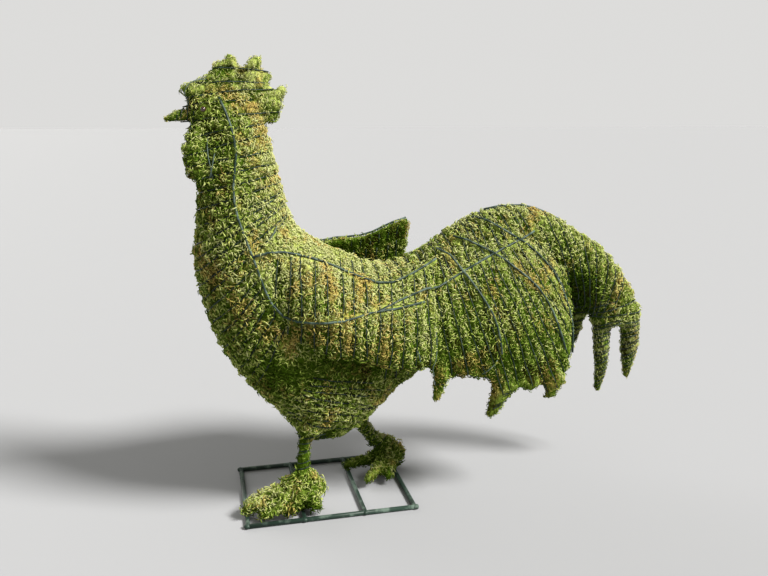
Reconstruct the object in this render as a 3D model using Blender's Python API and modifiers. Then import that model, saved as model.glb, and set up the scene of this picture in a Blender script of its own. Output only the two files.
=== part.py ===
"""Mossed rooster topiary: a moss-stuffed wire bird on a small welded rod base.

Metres, +Z up.  The beak points to -X, the tail to +X, the bird's left side is -Y.
The numbers below are given with X = 0 over the middle of the base and Z = 0 on the
ground; at the end everything is moved along X and Y so that the origin lies under
the middle of the whole ornament.
"""

import math

import bmesh
import bpy
from mathutils import Matrix, Vector
from mathutils.bvhtree import BVHTree

# ---------------------------------------------------------------- driving sizes
BASE_LENGTH = 0.228          # base frame, between rod centres, along X
BASE_WIDTH = 0.173           # base frame, between rod centres, along Y
BASE_ROD = 0.0064            # diameter of the two long base rods
CROSS_ROD = 0.0063           # the rods across are a hair thinner, clear of the ground
CROSSBARS_X = (-0.039, 0.044)
ROD_SIDES = 12

SURFACE_ROD = 0.0031         # diameter of the frame rods that show on the moss
ROD_STEP = 0.019             # spacing of the points along a surface rod
CLEARANCE = 0.0003           # gap kept between neighbouring pieces
LAY_GAP = 0.0004             # gap between a surface rod and the moss under it
LAY_RISE = 0.00015           # how much a rod is lifted at a time, to lay it on the moss
LAY_LIFT = 0.012             # the most that a rod is lifted
LAY_PATCH = 0.008            # radius of moss whose slope gives the way to lift
LAY_REACH = 0.035            # how far off its route a rod starts before it is laid down
FROM_FLANK = (0, 0.8, 0.6)   # rods on the side are laid down from here, mirrored on the right
FROM_ABOVE = (0, 0, 1)

EYE_CENTRE = Vector((-0.1447, 0.0245, 0.5399))
EYE_RADIUS = 0.0035

RIGHT_HEEL = (0.113, 0.046)  # the right foot steps back on its toes
RIGHT_TOES = ((0.041, 0.042), (0.0625, -0.013), (0.094, -0.010), (0.087, 0.074))
LEFT_HEEL = (-0.034, -0.052)  # the left foot stands flat under a thick pad of moss
LEFT_TOES = ((-0.116, -0.059), (-0.093, -0.078), (-0.060, -0.080), (-0.020, -0.074))

VOXEL = 0.0036               # size of the grid that fuses the moss forms
MOSS_TRIANGLES = 6100        # what the fused moss is thinned to
RING_SIDES = 22              # points round a rib of the body


# ---------------------------------------------------------------- small helpers
def clear_scene():
    for obj in list(bpy.data.objects):
        bpy.data.objects.remove(obj, do_unlink=True)


def new_collection(name):
    found = bpy.data.collections.new(name)
    bpy.context.scene.collection.children.link(found)
    return found


def new_material(name, colour, roughness, metallic=0.0):
    found = bpy.data.materials.new(name)
    found.use_nodes = True
    shader = found.node_tree.nodes["Principled BSDF"]
    shader.inputs["Base Color"].default_value = (*colour, 1.0)
    shader.inputs["Roughness"].default_value = roughness
    shader.inputs["Metallic"].default_value = metallic
    return found


def add_object(name, bm, group, finish=None):
    """Turn a bmesh into a linked object."""
    bmesh.ops.recalc_face_normals(bm, faces=bm.faces)
    mesh = bpy.data.meshes.new(name)
    bm.to_mesh(mesh)
    bm.free()
    obj = bpy.data.objects.new(name, mesh)
    group.objects.link(obj)
    if finish:
        mesh.materials.append(finish)
    return obj


def bake(obj):
    """Replace an object's mesh by its evaluated one and drop the modifiers."""
    evaluated = obj.evaluated_get(bpy.context.evaluated_depsgraph_get())
    mesh = bpy.data.meshes.new_from_object(evaluated)
    obj.modifiers.clear()
    obj.data = mesh
    return obj


def smooth_path(points, count):
    """Points spread evenly along a Catmull-Rom curve of any dimension."""
    ends = [[2 * a - b for a, b in zip(points[0], points[1])],
            [2 * a - b for a, b in zip(points[-1], points[-2])]]
    knots = [ends[0], *points, ends[1]]
    fine = []
    for i in range(1, len(knots) - 2):
        for step in range(16):
            t = step / 16
            fine.append([
                0.5 * (2 * b + (c - a) * t + (2 * a - 5 * b + 4 * c - d) * t * t
                       + (3 * b - a - 3 * c + d) * t ** 3)
                for a, b, c, d in zip(*knots[i - 1:i + 3])])
    fine.append(list(points[-1]))
    lengths = [0.0]
    for here, after in zip(fine, fine[1:]):
        lengths.append(lengths[-1] + math.dist(here, after))
    result = []
    segment = 0
    for n in range(count):
        want = lengths[-1] * n / (count - 1)
        while segment < len(fine) - 2 and lengths[segment + 1] < want:
            segment += 1
        span = max(lengths[segment + 1] - lengths[segment], 1e-9)
        t = min(max((want - lengths[segment]) / span, 0.0), 1.0)
        result.append([a + (b - a) * t for a, b in zip(fine[segment], fine[segment + 1])])
    return result


def skin(bm, rings):
    """Join closed rings of equal size into one capped tube."""
    loops = [[bm.verts.new(point) for point in ring] for ring in rings]
    for here, after in zip(loops, loops[1:]):
        for i in range(len(here)):
            j = (i + 1) % len(here)
            bm.faces.new((here[i], here[j], after[j], after[i]))
    bm.faces.new(list(reversed(loops[0])))
    bm.faces.new(loops[-1])


def ribbed(bm, ribs, count, squareness=2.2):
    """A body through ribs (x, z of one edge; x, z of the other edge; half width).

    Each rib is a superellipse that spans its two edge points and stands across
    the X-Z plane, so the edge points are the outline seen from the side.
    """
    rings = []
    for x1, z1, x2, z2, half in smooth_path(ribs, count):
        ring = []
        for i in range(RING_SIDES):
            a = 2 * math.pi * i / RING_SIDES
            along = math.copysign(abs(math.cos(a)) ** (2 / squareness), math.cos(a))
            across = math.copysign(abs(math.sin(a)) ** (2 / squareness), math.sin(a))
            t = (1 + along) / 2
            ring.append((x1 + (x2 - x1) * t, half * across, z1 + (z2 - z1) * t))
        rings.append(ring)
    skin(bm, rings)


def limb(bm, knots, count=8, flatness=1.0, sides=14):
    """A tapered round limb through knots (x, y, z, radius), with domed ends.

    flatness scales the limb across Y.
    """
    stations = smooth_path(knots, count)
    centres = [Vector(s[:3]) for s in stations]
    rings = []
    for n, (centre, station) in enumerate(zip(centres, stations)):
        before = centres[max(n - 1, 0)]
        after = centres[min(n + 1, count - 1)]
        heading = (after - before).normalized()
        side = heading.cross(Vector((0, 1, 0)))
        if side.length < 0.2:
            side = heading.cross(Vector((0, 0, 1)))
        side.normalize()
        other = side.cross(heading).normalized()
        domes = [(0.0, 1.0)]
        if n == 0:
            domes = [(-0.85, 0.45), (-0.5, 0.85), (0.0, 1.0)]
        elif n == count - 1:
            domes = [(0.0, 1.0), (0.5, 0.85), (0.85, 0.45)]
        for shift, scale in domes:
            ring = []
            for i in range(sides):
                a = 2 * math.pi * i / sides
                offset = (side * math.cos(a) + other * math.sin(a)) * station[3] * scale
                offset.y *= flatness
                ring.append(centre + heading * shift * station[3] + offset)
            rings.append(ring)
    skin(bm, rings)


def blob(bm, centre, half_sizes):
    """An ellipsoid."""
    place = Matrix.Translation(centre) @ Matrix.Diagonal((*half_sizes, 1.0))
    bmesh.ops.create_uvsphere(bm, u_segments=16, v_segments=10, radius=1.0, matrix=place)


def panel(bm, stations, side, count, rows=9):
    """A bulged, padded sheet on one side of the bird.

    A station is (bottom x, y, z; top x, y, z; bulge; thickness), with y measured
    outwards.  The bulge pushes the middle of the sheet outwards.
    """
    rings = []
    for x1, y1, z1, x2, y2, z2, bulge, thick in smooth_path(stations, count):
        outer = []
        inner = []
        for row in range(rows):
            t = row / (rows - 1)
            arch = math.sin(math.pi * t)
            plump = thick / 2 * (0.35 + 0.65 * math.sqrt(arch))
            x = x1 + (x2 - x1) * t
            y = y1 + (y2 - y1) * t + bulge * arch
            z = z1 + (z2 - z1) * t
            outer.append((x, side * (y + plump), z))
            inner.append((x, side * (y - plump), z))
        rings.append(outer + inner[::-1])
    skin(bm, rings)


# ---------------------------------------------------------------- moss forms
def moss_torso(bm):
    """Belly, breast and neck, up to the crown of the head."""
    ribbed(bm, [
        (0.200, 0.225, 0.205, 0.378, 0.030),
        (0.152, 0.187, 0.168, 0.362, 0.056),
        (0.102, 0.154, 0.125, 0.338, 0.068),
        (0.059, 0.112, 0.085, 0.332, 0.077),
        (0.026, 0.090, 0.045, 0.344, 0.081),
        (-0.022, 0.087, 0.006, 0.362, 0.084),
        (-0.061, 0.133, -0.020, 0.377, 0.088),
        (-0.113, 0.192, -0.034, 0.392, 0.087),
        (-0.148, 0.263, -0.042, 0.411, 0.079),
        (-0.166, 0.340, -0.047, 0.434, 0.066),
        (-0.160, 0.397, -0.052, 0.457, 0.055),
        (-0.156, 0.442, -0.058, 0.482, 0.047),
        (-0.157, 0.475, -0.066, 0.508, 0.041),
        (-0.157, 0.508, -0.072, 0.535, 0.035),
        (-0.154, 0.540, -0.086, 0.560, 0.024),
        (-0.147, 0.560, -0.105, 0.568, 0.012),
    ], count=34)


def moss_flanks(bm):
    """The broad upper flanks that carry the wings; the belly is narrower below them."""
    ribbed(bm, [
        (0.118, 0.214, 0.130, 0.335, 0.070),
        (0.070, 0.212, 0.088, 0.331, 0.086),
        (0.028, 0.220, 0.045, 0.342, 0.093),
        (-0.020, 0.226, 0.004, 0.360, 0.095),
        (-0.062, 0.250, -0.024, 0.374, 0.090),
        (-0.090, 0.280, -0.040, 0.384, 0.080),
    ], count=14)


def moss_head(bm):
    """Beak, face, comb and the two wattles."""
    limb(bm, [(-0.128, 0, 0.534, 0.020), (-0.150, 0, 0.535, 0.0150), (-0.1665, 0, 0.5340, 0.0108),
              (-0.180, 0, 0.5310, 0.0082), (-0.1925, 0, 0.5268, 0.0050)], flatness=0.95)
    blob(bm, (-0.1360, 0, 0.5370), (0.0280, 0.0265, 0.0270))
    blob(bm, (-0.1515, 0, 0.5610), (0.0200, 0.0140, 0.0155))
    blob(bm, (-0.1225, 0, 0.5860), (0.0135, 0.0100, 0.0125))
    blob(bm, (-0.062, 0, 0.5420), (0.0190, 0.0120, 0.0180))
    ribbed(bm, [(-0.160, 0.548, -0.157, 0.573, 0.009),
                (-0.140, 0.545, -0.137, 0.583, 0.012),
                (-0.118, 0.540, -0.113, 0.590, 0.013),
                (-0.095, 0.535, -0.088, 0.580, 0.013),
                (-0.078, 0.530, -0.060, 0.560, 0.012)], count=10)
    comb_foot = Vector((-0.105, 0, 0.535))
    for lean, reach, width in ((93, 0.0765, 0.0096), (79, 0.0605, 0.0078), (66.5, 0.0800, 0.0094),
                               (47, 0.0710, 0.0078), (25.5, 0.0760, 0.0080)):
        a = math.radians(lean)
        along = Vector((math.cos(a), 0, math.sin(a)))
        knots = [(*(comb_foot + along * (reach - 0.85 * width) * t), width * w)
                 for t, w in ((0.45, 1.5), (0.75, 1.15), (1.0, 0.92))]
        limb(bm, knots, count=6, flatness=0.9)
    for side in (-1, 1):
        limb(bm, [(-0.154, side * 0.016, 0.513, 0.0120), (-0.157, side * 0.024, 0.490, 0.0150),
                  (-0.156, side * 0.027, 0.468, 0.0155), (-0.151, side * 0.027, 0.450, 0.0085)],
             flatness=0.8)


def moss_wing(bm, side):
    """A folded wing, padded, with its lower edge standing proud of the flank."""
    lift = 0.034 if side > 0 else 0.0
    flare = 0.016 if side > 0 else 0.0
    panel(bm, [
        (-0.070, 0.066, 0.292, -0.076, 0.058, 0.352, 0.006, 0.016),
        (-0.045, 0.086, 0.262, -0.045, 0.074, 0.356, 0.010, 0.020),
        (-0.012, 0.098, 0.234, -0.011, 0.080, 0.347, 0.013, 0.024),
        (0.030, 0.101, 0.226, 0.030, 0.063 + 1.1 * flare, 0.332 + 0.7 * lift, 0.016, 0.026),
        (0.075, 0.100, 0.210, 0.080, 0.050 + 2.0 * flare, 0.328 + 0.9 * lift, 0.019, 0.027),
        (0.110, 0.096, 0.205, 0.115, 0.044 + 2.6 * flare, 0.338 + lift, 0.019, 0.025),
        (0.136, 0.091, 0.206, 0.142 + 0.3 * lift, 0.042 + 2.9 * flare, 0.346 + 1.15 * lift,
         0.017, 0.019),
    ], side, count=16)


def moss_tail(bm):
    """The arching plume with its two hanging sickles, and a skirt on each side."""
    ribbed(bm, [
        (0.165, 0.300, 0.160, 0.360, 0.036),
        (0.196, 0.318, 0.198, 0.386, 0.034),
        (0.240, 0.332, 0.243, 0.4035, 0.032),
        (0.288, 0.326, 0.303, 0.4045, 0.031),
        (0.330, 0.308, 0.360, 0.3800, 0.030),
        (0.362, 0.290, 0.419, 0.3430, 0.028),
        (0.385, 0.265, 0.456, 0.3040, 0.026),
        (0.404, 0.245, 0.485, 0.2560, 0.023),
        (0.414, 0.225, 0.4955, 0.2180, 0.019),
    ], count=20)
    limb(bm, [(0.476, 0, 0.238, 0.0190), (0.4805, 0, 0.200, 0.0170),
              (0.4795, 0, 0.165, 0.0130), (0.4785, 0, 0.136, 0.0065)], flatness=0.85)
    limb(bm, [(0.430, 0, 0.245, 0.0175), (0.4325, 0, 0.200, 0.0155),
              (0.4345, 0, 0.158, 0.0128), (0.4300, 0, 0.1205, 0.0078)], flatness=0.85)
    for side in (-1, 1):
        moss_skirt(bm, side)


def moss_skirt(bm, side):
    """One hanging side of the tail, with pointed feather tips along its edge."""
    reach = 0.086 if side > 0 else 0.0
    stations = []
    for x1, y1, z1, x2, y2, z2, bulge, thick in (
            (0.128, 0.074, 0.197, 0.130, 0.050, 0.335, 0.004, 0.022),
            (0.158, 0.084, 0.190, 0.164, 0.034, 0.352, 0.010, 0.024),
            (0.190, 0.087, 0.186, 0.204, 0.016, 0.376, 0.017, 0.026),
            (0.226, 0.087, 0.176, 0.246, 0.012, 0.391, 0.022, 0.026),
            (0.258, 0.085, 0.168, 0.282, 0.014, 0.384, 0.023, 0.026),
            (0.292, 0.081, 0.168, 0.316, 0.016, 0.364, 0.021, 0.024),
            (0.326, 0.076, 0.162, 0.343, 0.018, 0.334, 0.017, 0.021),
            (0.342, 0.071, 0.180, 0.359, 0.026, 0.298, 0.011, 0.014)):
        rear = max((x1 - 0.24) / 0.10, 0.0)
        stations.append((x1 + 0.85 * reach * rear, y1 - 0.3 * reach * rear, z1,
                         x2 + reach * rear, y2, z2 - 0.3 * reach * rear, bulge, thick))
    panel(bm, stations, side, count=20)
    for x, z, drop, lean, width in ((0.150, 0.194, 0.041, -0.008, 0.0125),
                                    (0.240, 0.172, 0.048, -0.019, 0.0150),
                                    (0.258, 0.172, 0.012, 0.000, 0.0090),
                                    (0.281, 0.172, 0.016, 0.000, 0.0100),
                                    (0.314, 0.172, 0.028, -0.006, 0.0145)):
        limb(bm, [(x, side * 0.086, z, width), (x + lean / 2, side * 0.085, z - drop / 2,
                                               0.75 * width),
                  (x + lean, side * 0.083, z - drop + 0.35 * width, 0.42 * width)],
             count=5, flatness=0.75)


def moss_legs(bm):
    """Thighs, shanks and the two moss-covered feet on the base."""
    top = BASE_ROD + 0.0075
    limb(bm, [(0.004, -0.042, 0.190, 0.046), (-0.013, -0.044, 0.145, 0.033),
              (-0.027, -0.046, 0.114, 0.0165)], flatness=0.9)
    limb(bm, [(0.030, 0.042, 0.185, 0.044), (0.036, 0.044, 0.140, 0.032),
              (0.050, 0.046, 0.106, 0.0170)], flatness=0.9)
    limb(bm, [(-0.030, -0.046, 0.120, 0.0122), (-0.0325, -0.046, 0.088, 0.0098),
              (-0.036, -0.047, 0.056, 0.0120)])
    limb(bm, [(0.052, 0.046, 0.112, 0.0140), (0.068, 0.046, 0.077, 0.0115),
              (0.094, 0.046, 0.042, 0.0120)])
    heel = Vector((*LEFT_HEEL, 0.032))
    blob(bm, heel, (0.0270, 0.0220, 0.0260))
    for x, y in LEFT_TOES:
        tip = Vector((x, y, top))
        limb(bm, [(*heel, 0.0180), (*(heel.lerp(tip, 0.5) + Vector((0, 0, 0.003))), 0.0145),
                  (*tip, 0.0075)], count=6)
    heel = Vector((*RIGHT_HEEL, 0.024))
    blob(bm, heel, (0.0170, 0.0165, 0.0185))
    limb(bm, [(0.092, 0.046, 0.043, 0.0115), (0.1095, 0.046, 0.0465, 0.0095)], count=3)
    for x, y in RIGHT_TOES:
        tip = Vector((x, y, top))
        limb(bm, [(*heel, 0.0130), (*heel.lerp(tip, 0.5), 0.0085), (*tip, 0.0060)], count=6)


def moss_body(group, cutters, finish):
    """All the moss, fused into one solid, with room cut for the base and the eyes."""
    bm = bmesh.new()
    moss_torso(bm)
    moss_flanks(bm)
    moss_head(bm)
    for side in (-1, 1):
        moss_wing(bm, side)
    moss_tail(bm)
    moss_legs(bm)
    obj = add_object("moss_body", bm, group, finish)
    fuse = obj.modifiers.new("fuse", "REMESH")
    fuse.mode = "VOXEL"
    fuse.voxel_size = VOXEL
    settle = obj.modifiers.new("settle", "SMOOTH")
    settle.factor = 0.5
    settle.iterations = 3
    bake(obj)
    thin = obj.modifiers.new("thin", "DECIMATE")
    thin.ratio = MOSS_TRIANGLES / (2 * len(obj.data.polygons))
    thin.use_collapse_triangulate = True
    for cutter in (under_feet(cutters), *eye_sockets(cutters)):
        cut = obj.modifiers.new("cut_" + cutter.name, "BOOLEAN")
        cut.operation = "DIFFERENCE"
        cut.object = cutter
    bake(obj)
    obj.data.shade_smooth()
    obj.data.set_sharp_from_angle(angle=math.radians(50))
    return obj


def under_feet(cutters):
    """A block that trims the feet flat, just clear of the base rods."""
    bm = bmesh.new()
    depth = 0.05
    place = Matrix.Translation((0, 0, BASE_ROD + CLEARANCE - depth / 2))
    bmesh.ops.create_cube(bm, size=1.0, matrix=place @ Matrix.Diagonal((0.6, 0.6, depth, 1.0)))
    return guide("under_feet", bm, cutters)


def eye_sockets(cutters):
    """A ball a little larger than the eye, on each side."""
    found = []
    for name, side in (("left", -1), ("right", 1)):
        bm = bmesh.new()
        centre = Vector((EYE_CENTRE.x, side * EYE_CENTRE.y, EYE_CENTRE.z))
        bmesh.ops.create_uvsphere(bm, u_segments=12, v_segments=8,
                                  radius=EYE_RADIUS + CLEARANCE + 0.0002,
                                  matrix=Matrix.Translation(centre))
        found.append(guide(name + "_socket", bm, cutters))
    return found


def guide(name, bm, cutters):
    obj = add_object(name, bm, cutters)
    obj.hide_render = True
    obj.display_type = "WIRE"
    return obj


# ---------------------------------------------------------------- metal and eyes
def straight_rod(bm, start, end, diameter):
    """A straight round bar with one flat facing down."""
    axis = Vector(end) - Vector(start)
    middle = (Vector(start) + Vector(end)) / 2
    turn = math.atan2(axis.y, axis.x)
    place = (Matrix.Translation(middle) @ Matrix.Rotation(turn, 4, "Z")
             @ Matrix.Rotation(math.pi / 2, 4, "Y")
             @ Matrix.Rotation(math.pi / ROD_SIDES, 4, "Z"))
    radius = diameter / 2 / math.cos(math.pi / ROD_SIDES)
    bmesh.ops.create_cone(bm, cap_ends=True, segments=ROD_SIDES, radius1=radius,
                          radius2=radius, depth=axis.length, matrix=place)


def base_frame(group, cutters, finish):
    """The welded rectangle of rods with two crossbars, flat on the ground."""
    half_x = BASE_LENGTH / 2
    half_y = BASE_WIDTH / 2
    past = 0.7 * BASE_ROD
    height = BASE_ROD / 2
    runs = [((-half_x - past, y, height), (half_x + past, y, height), BASE_ROD)
            for y in (-half_y, half_y)]
    for x in (-half_x, *CROSSBARS_X, half_x):
        runs.append(((x, -half_y, height), (x, half_y, height), CROSS_ROD))
    obj = None
    for n, (start, end, diameter) in enumerate(runs):
        bm = bmesh.new()
        straight_rod(bm, start, end, diameter)
        if obj is None:
            obj = add_object("base_frame", bm, group, finish)
            continue
        join = obj.modifiers.new(f"weld_{n}", "BOOLEAN")
        join.operation = "UNION"
        join.object = guide(f"base_rod_{n}", bm, cutters)
    return bake(obj)


# Routes of the rods that show on the left side, hand-laid as x, y, z.
NECK_AND_WING_EDGE = (
    (-0.125, 0.020, 0.553), (-0.114, 0.034, 0.524), (-0.108, 0.042, 0.487),
    (-0.113, 0.049, 0.445), (-0.110, 0.058, 0.410), (-0.094, 0.074, 0.360),
    (-0.078, 0.084, 0.312), (-0.063, 0.090, 0.292), (-0.030, 0.108, 0.281),
    (0.010, 0.115, 0.283), (0.050, 0.108, 0.292), (0.090, 0.101, 0.295), (0.124, 0.096, 0.301))
WING_TOP = (
    (-0.094, 0.074, 0.360), (-0.076, 0.074, 0.365), (-0.045, 0.068, 0.362),
    (0.000, 0.056, 0.343), (0.040, 0.068, 0.329), (0.079, 0.080, 0.326),
    (0.118, 0.073, 0.339), (0.152, 0.050, 0.346))
RAISED_WING_TOP = (
    (-0.094, 0.074, 0.360), (-0.076, 0.074, 0.365), (-0.045, 0.074, 0.366),
    (-0.010, 0.080, 0.358), (0.035, 0.084, 0.361), (0.080, 0.087, 0.367),
    (0.115, 0.090, 0.381), (0.146, 0.092, 0.394))
TAIL_STAY = (
    (0.059, 0.106, 0.293), (0.099, 0.094, 0.308), (0.148, 0.072, 0.313),
    (0.192, 0.058, 0.330), (0.234, 0.048, 0.347), (0.273, 0.038, 0.362), (0.300, 0.030, 0.374))
SKIRT_REAR = (
    (0.216, 0.010, 0.393), (0.240, 0.028, 0.385), (0.276, 0.036, 0.364),
    (0.305, 0.043, 0.338), (0.328, 0.049, 0.310), (0.339, 0.058, 0.280),
    (0.346, 0.066, 0.245), (0.344, 0.073, 0.205))
SKIRT_MIDDLE = (
    (0.183, 0.022, 0.368), (0.203, 0.033, 0.363), (0.234, 0.048, 0.347),
    (0.260, 0.061, 0.328), (0.287, 0.069, 0.305), (0.306, 0.075, 0.277),
    (0.319, 0.079, 0.246), (0.331, 0.079, 0.212))
SKIRT_FRONT = (
    (0.160, 0.028, 0.352), (0.175, 0.046, 0.341), (0.190, 0.058, 0.322),
    (0.205, 0.073, 0.298), (0.219, 0.085, 0.273), (0.227, 0.092, 0.247), (0.231, 0.095, 0.218))
RIDGE = (
    (0.236, 0.0, 0.405), (0.265, 0.0, 0.407), (0.300, 0.0, 0.404),
    (0.335, 0.0, 0.393), (0.363, 0.0, 0.376))


def outward(surface, point):
    """The way off the moss near a point, averaged over a patch of its surface."""
    total = Vector((0, 0, 0))
    for _, normal, _, distance in surface.find_nearest_range(point, LAY_PATCH):
        total += normal / (distance + 0.002)
    return total.normalized() if total.length else Vector((0, 0, 1))


def is_clear(surface, probe, way):
    """True where a rod's axis is outside the moss with room for its radius."""
    near = surface.find_nearest(probe)
    if near[3] < SURFACE_ROD / 2 + LAY_GAP:
        return False
    hit = surface.ray_cast(probe, way)
    return hit[0] is None or hit[1].dot(way) < 0


def lay_on_moss(route, side, approach, surface):
    """Points of a rod that follows a route just clear of the moss.

    Each point comes down onto the moss against the approach direction.
    """
    knots = [(x, side * y, z) for x, y, z in route]
    length = sum(math.dist(a, b) for a, b in zip(knots, knots[1:]))
    come_from = Vector((approach[0], side * approach[1], approach[2])).normalized()
    points = []
    ways = []
    for knot in smooth_path(knots, max(int(length / ROD_STEP), 3) + 1):
        spot = surface.ray_cast(Vector(knot) + come_from * LAY_REACH, -come_from)[0]
        if spot is None:
            spot = surface.find_nearest(Vector(knot))[0]
        ways.append((outward(surface, spot) + come_from * 0.5).normalized())
        points.append(spot + ways[-1] * (SURFACE_ROD / 2))
    for _ in range(int(LAY_LIFT / LAY_RISE)):
        lifted = set()
        for n in range(len(points) - 1):
            for step in range(9):
                probe = points[n].lerp(points[n + 1], step / 8)
                if not is_clear(surface, probe, ways[n].lerp(ways[n + 1], step / 8)):
                    lifted |= {n} if step < 4 else {n + 1} if step > 4 else {n, n + 1}
        if not lifted:
            break
        for n in lifted:
            points[n] = points[n] + ways[n] * LAY_RISE
    return points


def surface_rod(name, points, group, finish):
    """A thin round rod through its points, as a closed mesh."""
    curve = bpy.data.curves.new(name, "CURVE")
    curve.dimensions = "3D"
    curve.bevel_depth = SURFACE_ROD / 2
    curve.bevel_resolution = 2
    curve.use_fill_caps = True
    spline = curve.splines.new("POLY")
    spline.points.add(len(points) - 1)
    for knot, point in zip(spline.points, points):
        knot.co = (*point, 1.0)
    tube = bpy.data.objects.new(name + "_curve", curve)
    group.objects.link(tube)
    bpy.context.view_layer.update()
    evaluated = tube.evaluated_get(bpy.context.evaluated_depsgraph_get())
    bm = bmesh.new()
    bm.from_mesh(bpy.data.meshes.new_from_object(evaluated))
    bmesh.ops.remove_doubles(bm, verts=bm.verts, dist=0.00001)
    bpy.data.objects.remove(tube, do_unlink=True)
    return add_object(name, bm, group, finish)


def frame_rods(name, routes, side, moss, group, cutters, finish):
    """The welded rods that show on one side of the bird, joined into one piece."""
    bm = bmesh.new()
    bm.from_mesh(moss.data)
    surface = BVHTree.FromBMesh(bm)
    bm.free()
    obj = None
    for n, (route, approach) in enumerate(routes):
        points = lay_on_moss(route, side, approach, surface)
        if obj is None:
            obj = surface_rod(name, points, group, finish)
            continue
        other = surface_rod(f"{name}_{n}", points, cutters, finish)
        other.hide_render = True
        other.display_type = "WIRE"
        weld = obj.modifiers.new(f"weld_{n}", "BOOLEAN")
        weld.operation = "UNION"
        weld.object = other
    bake(obj)
    obj.data.shade_smooth()
    obj.data.set_sharp_from_angle(angle=math.radians(50))
    return obj


def eye(name, side, group, finish):
    """A glossy bead, sunk into its socket."""
    bm = bmesh.new()
    centre = Vector((EYE_CENTRE.x, side * EYE_CENTRE.y, EYE_CENTRE.z))
    bmesh.ops.create_uvsphere(bm, u_segments=12, v_segments=8, radius=EYE_RADIUS,
                              matrix=Matrix.Translation(centre))
    obj = add_object(name, bm, group, finish)
    obj.data.shade_smooth()
    return obj


def move_to_middle(group, cutters):
    """Shift every piece so that the origin lies under the middle of the whole box."""
    corners = [obj.matrix_world @ Vector(corner) for obj in group.objects
               for corner in obj.bound_box]
    shift = Vector((-(min(c.x for c in corners) + max(c.x for c in corners)) / 2,
                    -(min(c.y for c in corners) + max(c.y for c in corners)) / 2, 0.0))
    for obj in (*group.objects, *cutters.objects):
        obj.data.transform(Matrix.Translation(shift))
        obj.data.update()


def main():
    clear_scene()
    group = new_collection("mossed_rooster_topiary")
    cutters = new_collection("cutters")
    moss = new_material("moss", (0.17, 0.20, 0.05), 0.95)
    steel = new_material("painted_rod", (0.05, 0.085, 0.07), 0.45, 0.2)
    bead = new_material("eye_bead", (0.02, 0.006, 0.004), 0.06)

    body = moss_body(group, cutters, moss)
    base_frame(group, cutters, steel)
    left_routes = [(route, FROM_FLANK) for route in (
        NECK_AND_WING_EDGE, WING_TOP, TAIL_STAY, SKIRT_MIDDLE, SKIRT_FRONT, SKIRT_REAR)]
    right_routes = [(NECK_AND_WING_EDGE, FROM_FLANK), (RAISED_WING_TOP, FROM_ABOVE)]
    frame_rods("left_frame_rods", left_routes, -1, body, group, cutters, steel)
    frame_rods("right_frame_rods", right_routes, 1, body, group, cutters, steel)
    frame_rods("right_skirt_rod", [(SKIRT_MIDDLE, FROM_FLANK)], 1, body, group, cutters, steel)
    frame_rods("ridge_rod", [(RIDGE, FROM_ABOVE)], 1, body, group, cutters, steel)
    for name, side in (("left_eye", -1), ("right_eye", 1)):
        eye(name, side, group, bead)
    move_to_middle(group, cutters)


main()
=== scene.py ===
"""Looks of the mossed rooster topiary: moss, windings, rods, eyes, and a plain studio.

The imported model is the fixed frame.  The moss solid is replaced by a pillowed mat of
moss, drawn in by its wire windings and covered in loose fibres.  The rods and the eyes
are rounder copies of their solids.  Places are written from the middle of the ground
frame: X = 0 over its middle, Y = 0 on the bird's centre plane, Z = 0 on the ground.
The beak points to -X and the bird's left side is -Y.
"""

import functools
import math

import bmesh
import bpy
import numpy as np
from bpy.props import FloatProperty, FloatVectorProperty, IntProperty, PointerProperty
from mathutils import Matrix, Vector, noise
from mathutils.bvhtree import BVHTree
from mathutils.kdtree import KDTree


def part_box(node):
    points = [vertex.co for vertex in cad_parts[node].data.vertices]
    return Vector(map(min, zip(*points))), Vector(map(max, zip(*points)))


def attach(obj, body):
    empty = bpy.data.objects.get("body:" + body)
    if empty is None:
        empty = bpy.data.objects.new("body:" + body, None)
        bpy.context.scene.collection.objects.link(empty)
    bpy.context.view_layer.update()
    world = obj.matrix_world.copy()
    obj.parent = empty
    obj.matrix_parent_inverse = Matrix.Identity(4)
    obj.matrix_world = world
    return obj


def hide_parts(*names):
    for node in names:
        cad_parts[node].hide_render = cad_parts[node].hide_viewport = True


bl_info = {
    "name": "Mossed Rooster Topiary",
    "version": (1, 0, 0),
    "blender": (4, 5, 0),
    "location": "View3D > Sidebar > Topiary",
    "description": "Dresses the rooster topiary in moss, wire and painted rod",
    "category": "Object",
}

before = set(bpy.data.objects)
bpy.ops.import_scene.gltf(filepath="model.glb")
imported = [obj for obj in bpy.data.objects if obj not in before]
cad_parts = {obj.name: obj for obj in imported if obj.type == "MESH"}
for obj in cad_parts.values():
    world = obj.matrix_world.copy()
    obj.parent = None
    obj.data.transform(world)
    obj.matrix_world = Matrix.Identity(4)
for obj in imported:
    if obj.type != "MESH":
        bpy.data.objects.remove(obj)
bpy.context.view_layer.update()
BODY = "root"

GROUND_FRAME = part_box("base_frame")
MIDDLE = (GROUND_FRAME[0] + GROUND_FRAME[1]) / 2
ROD_TOP = GROUND_FRAME[1].z
CROSSBARS = (-0.039, 0.044)  # where the ground frame's crossbars lie along X

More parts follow.
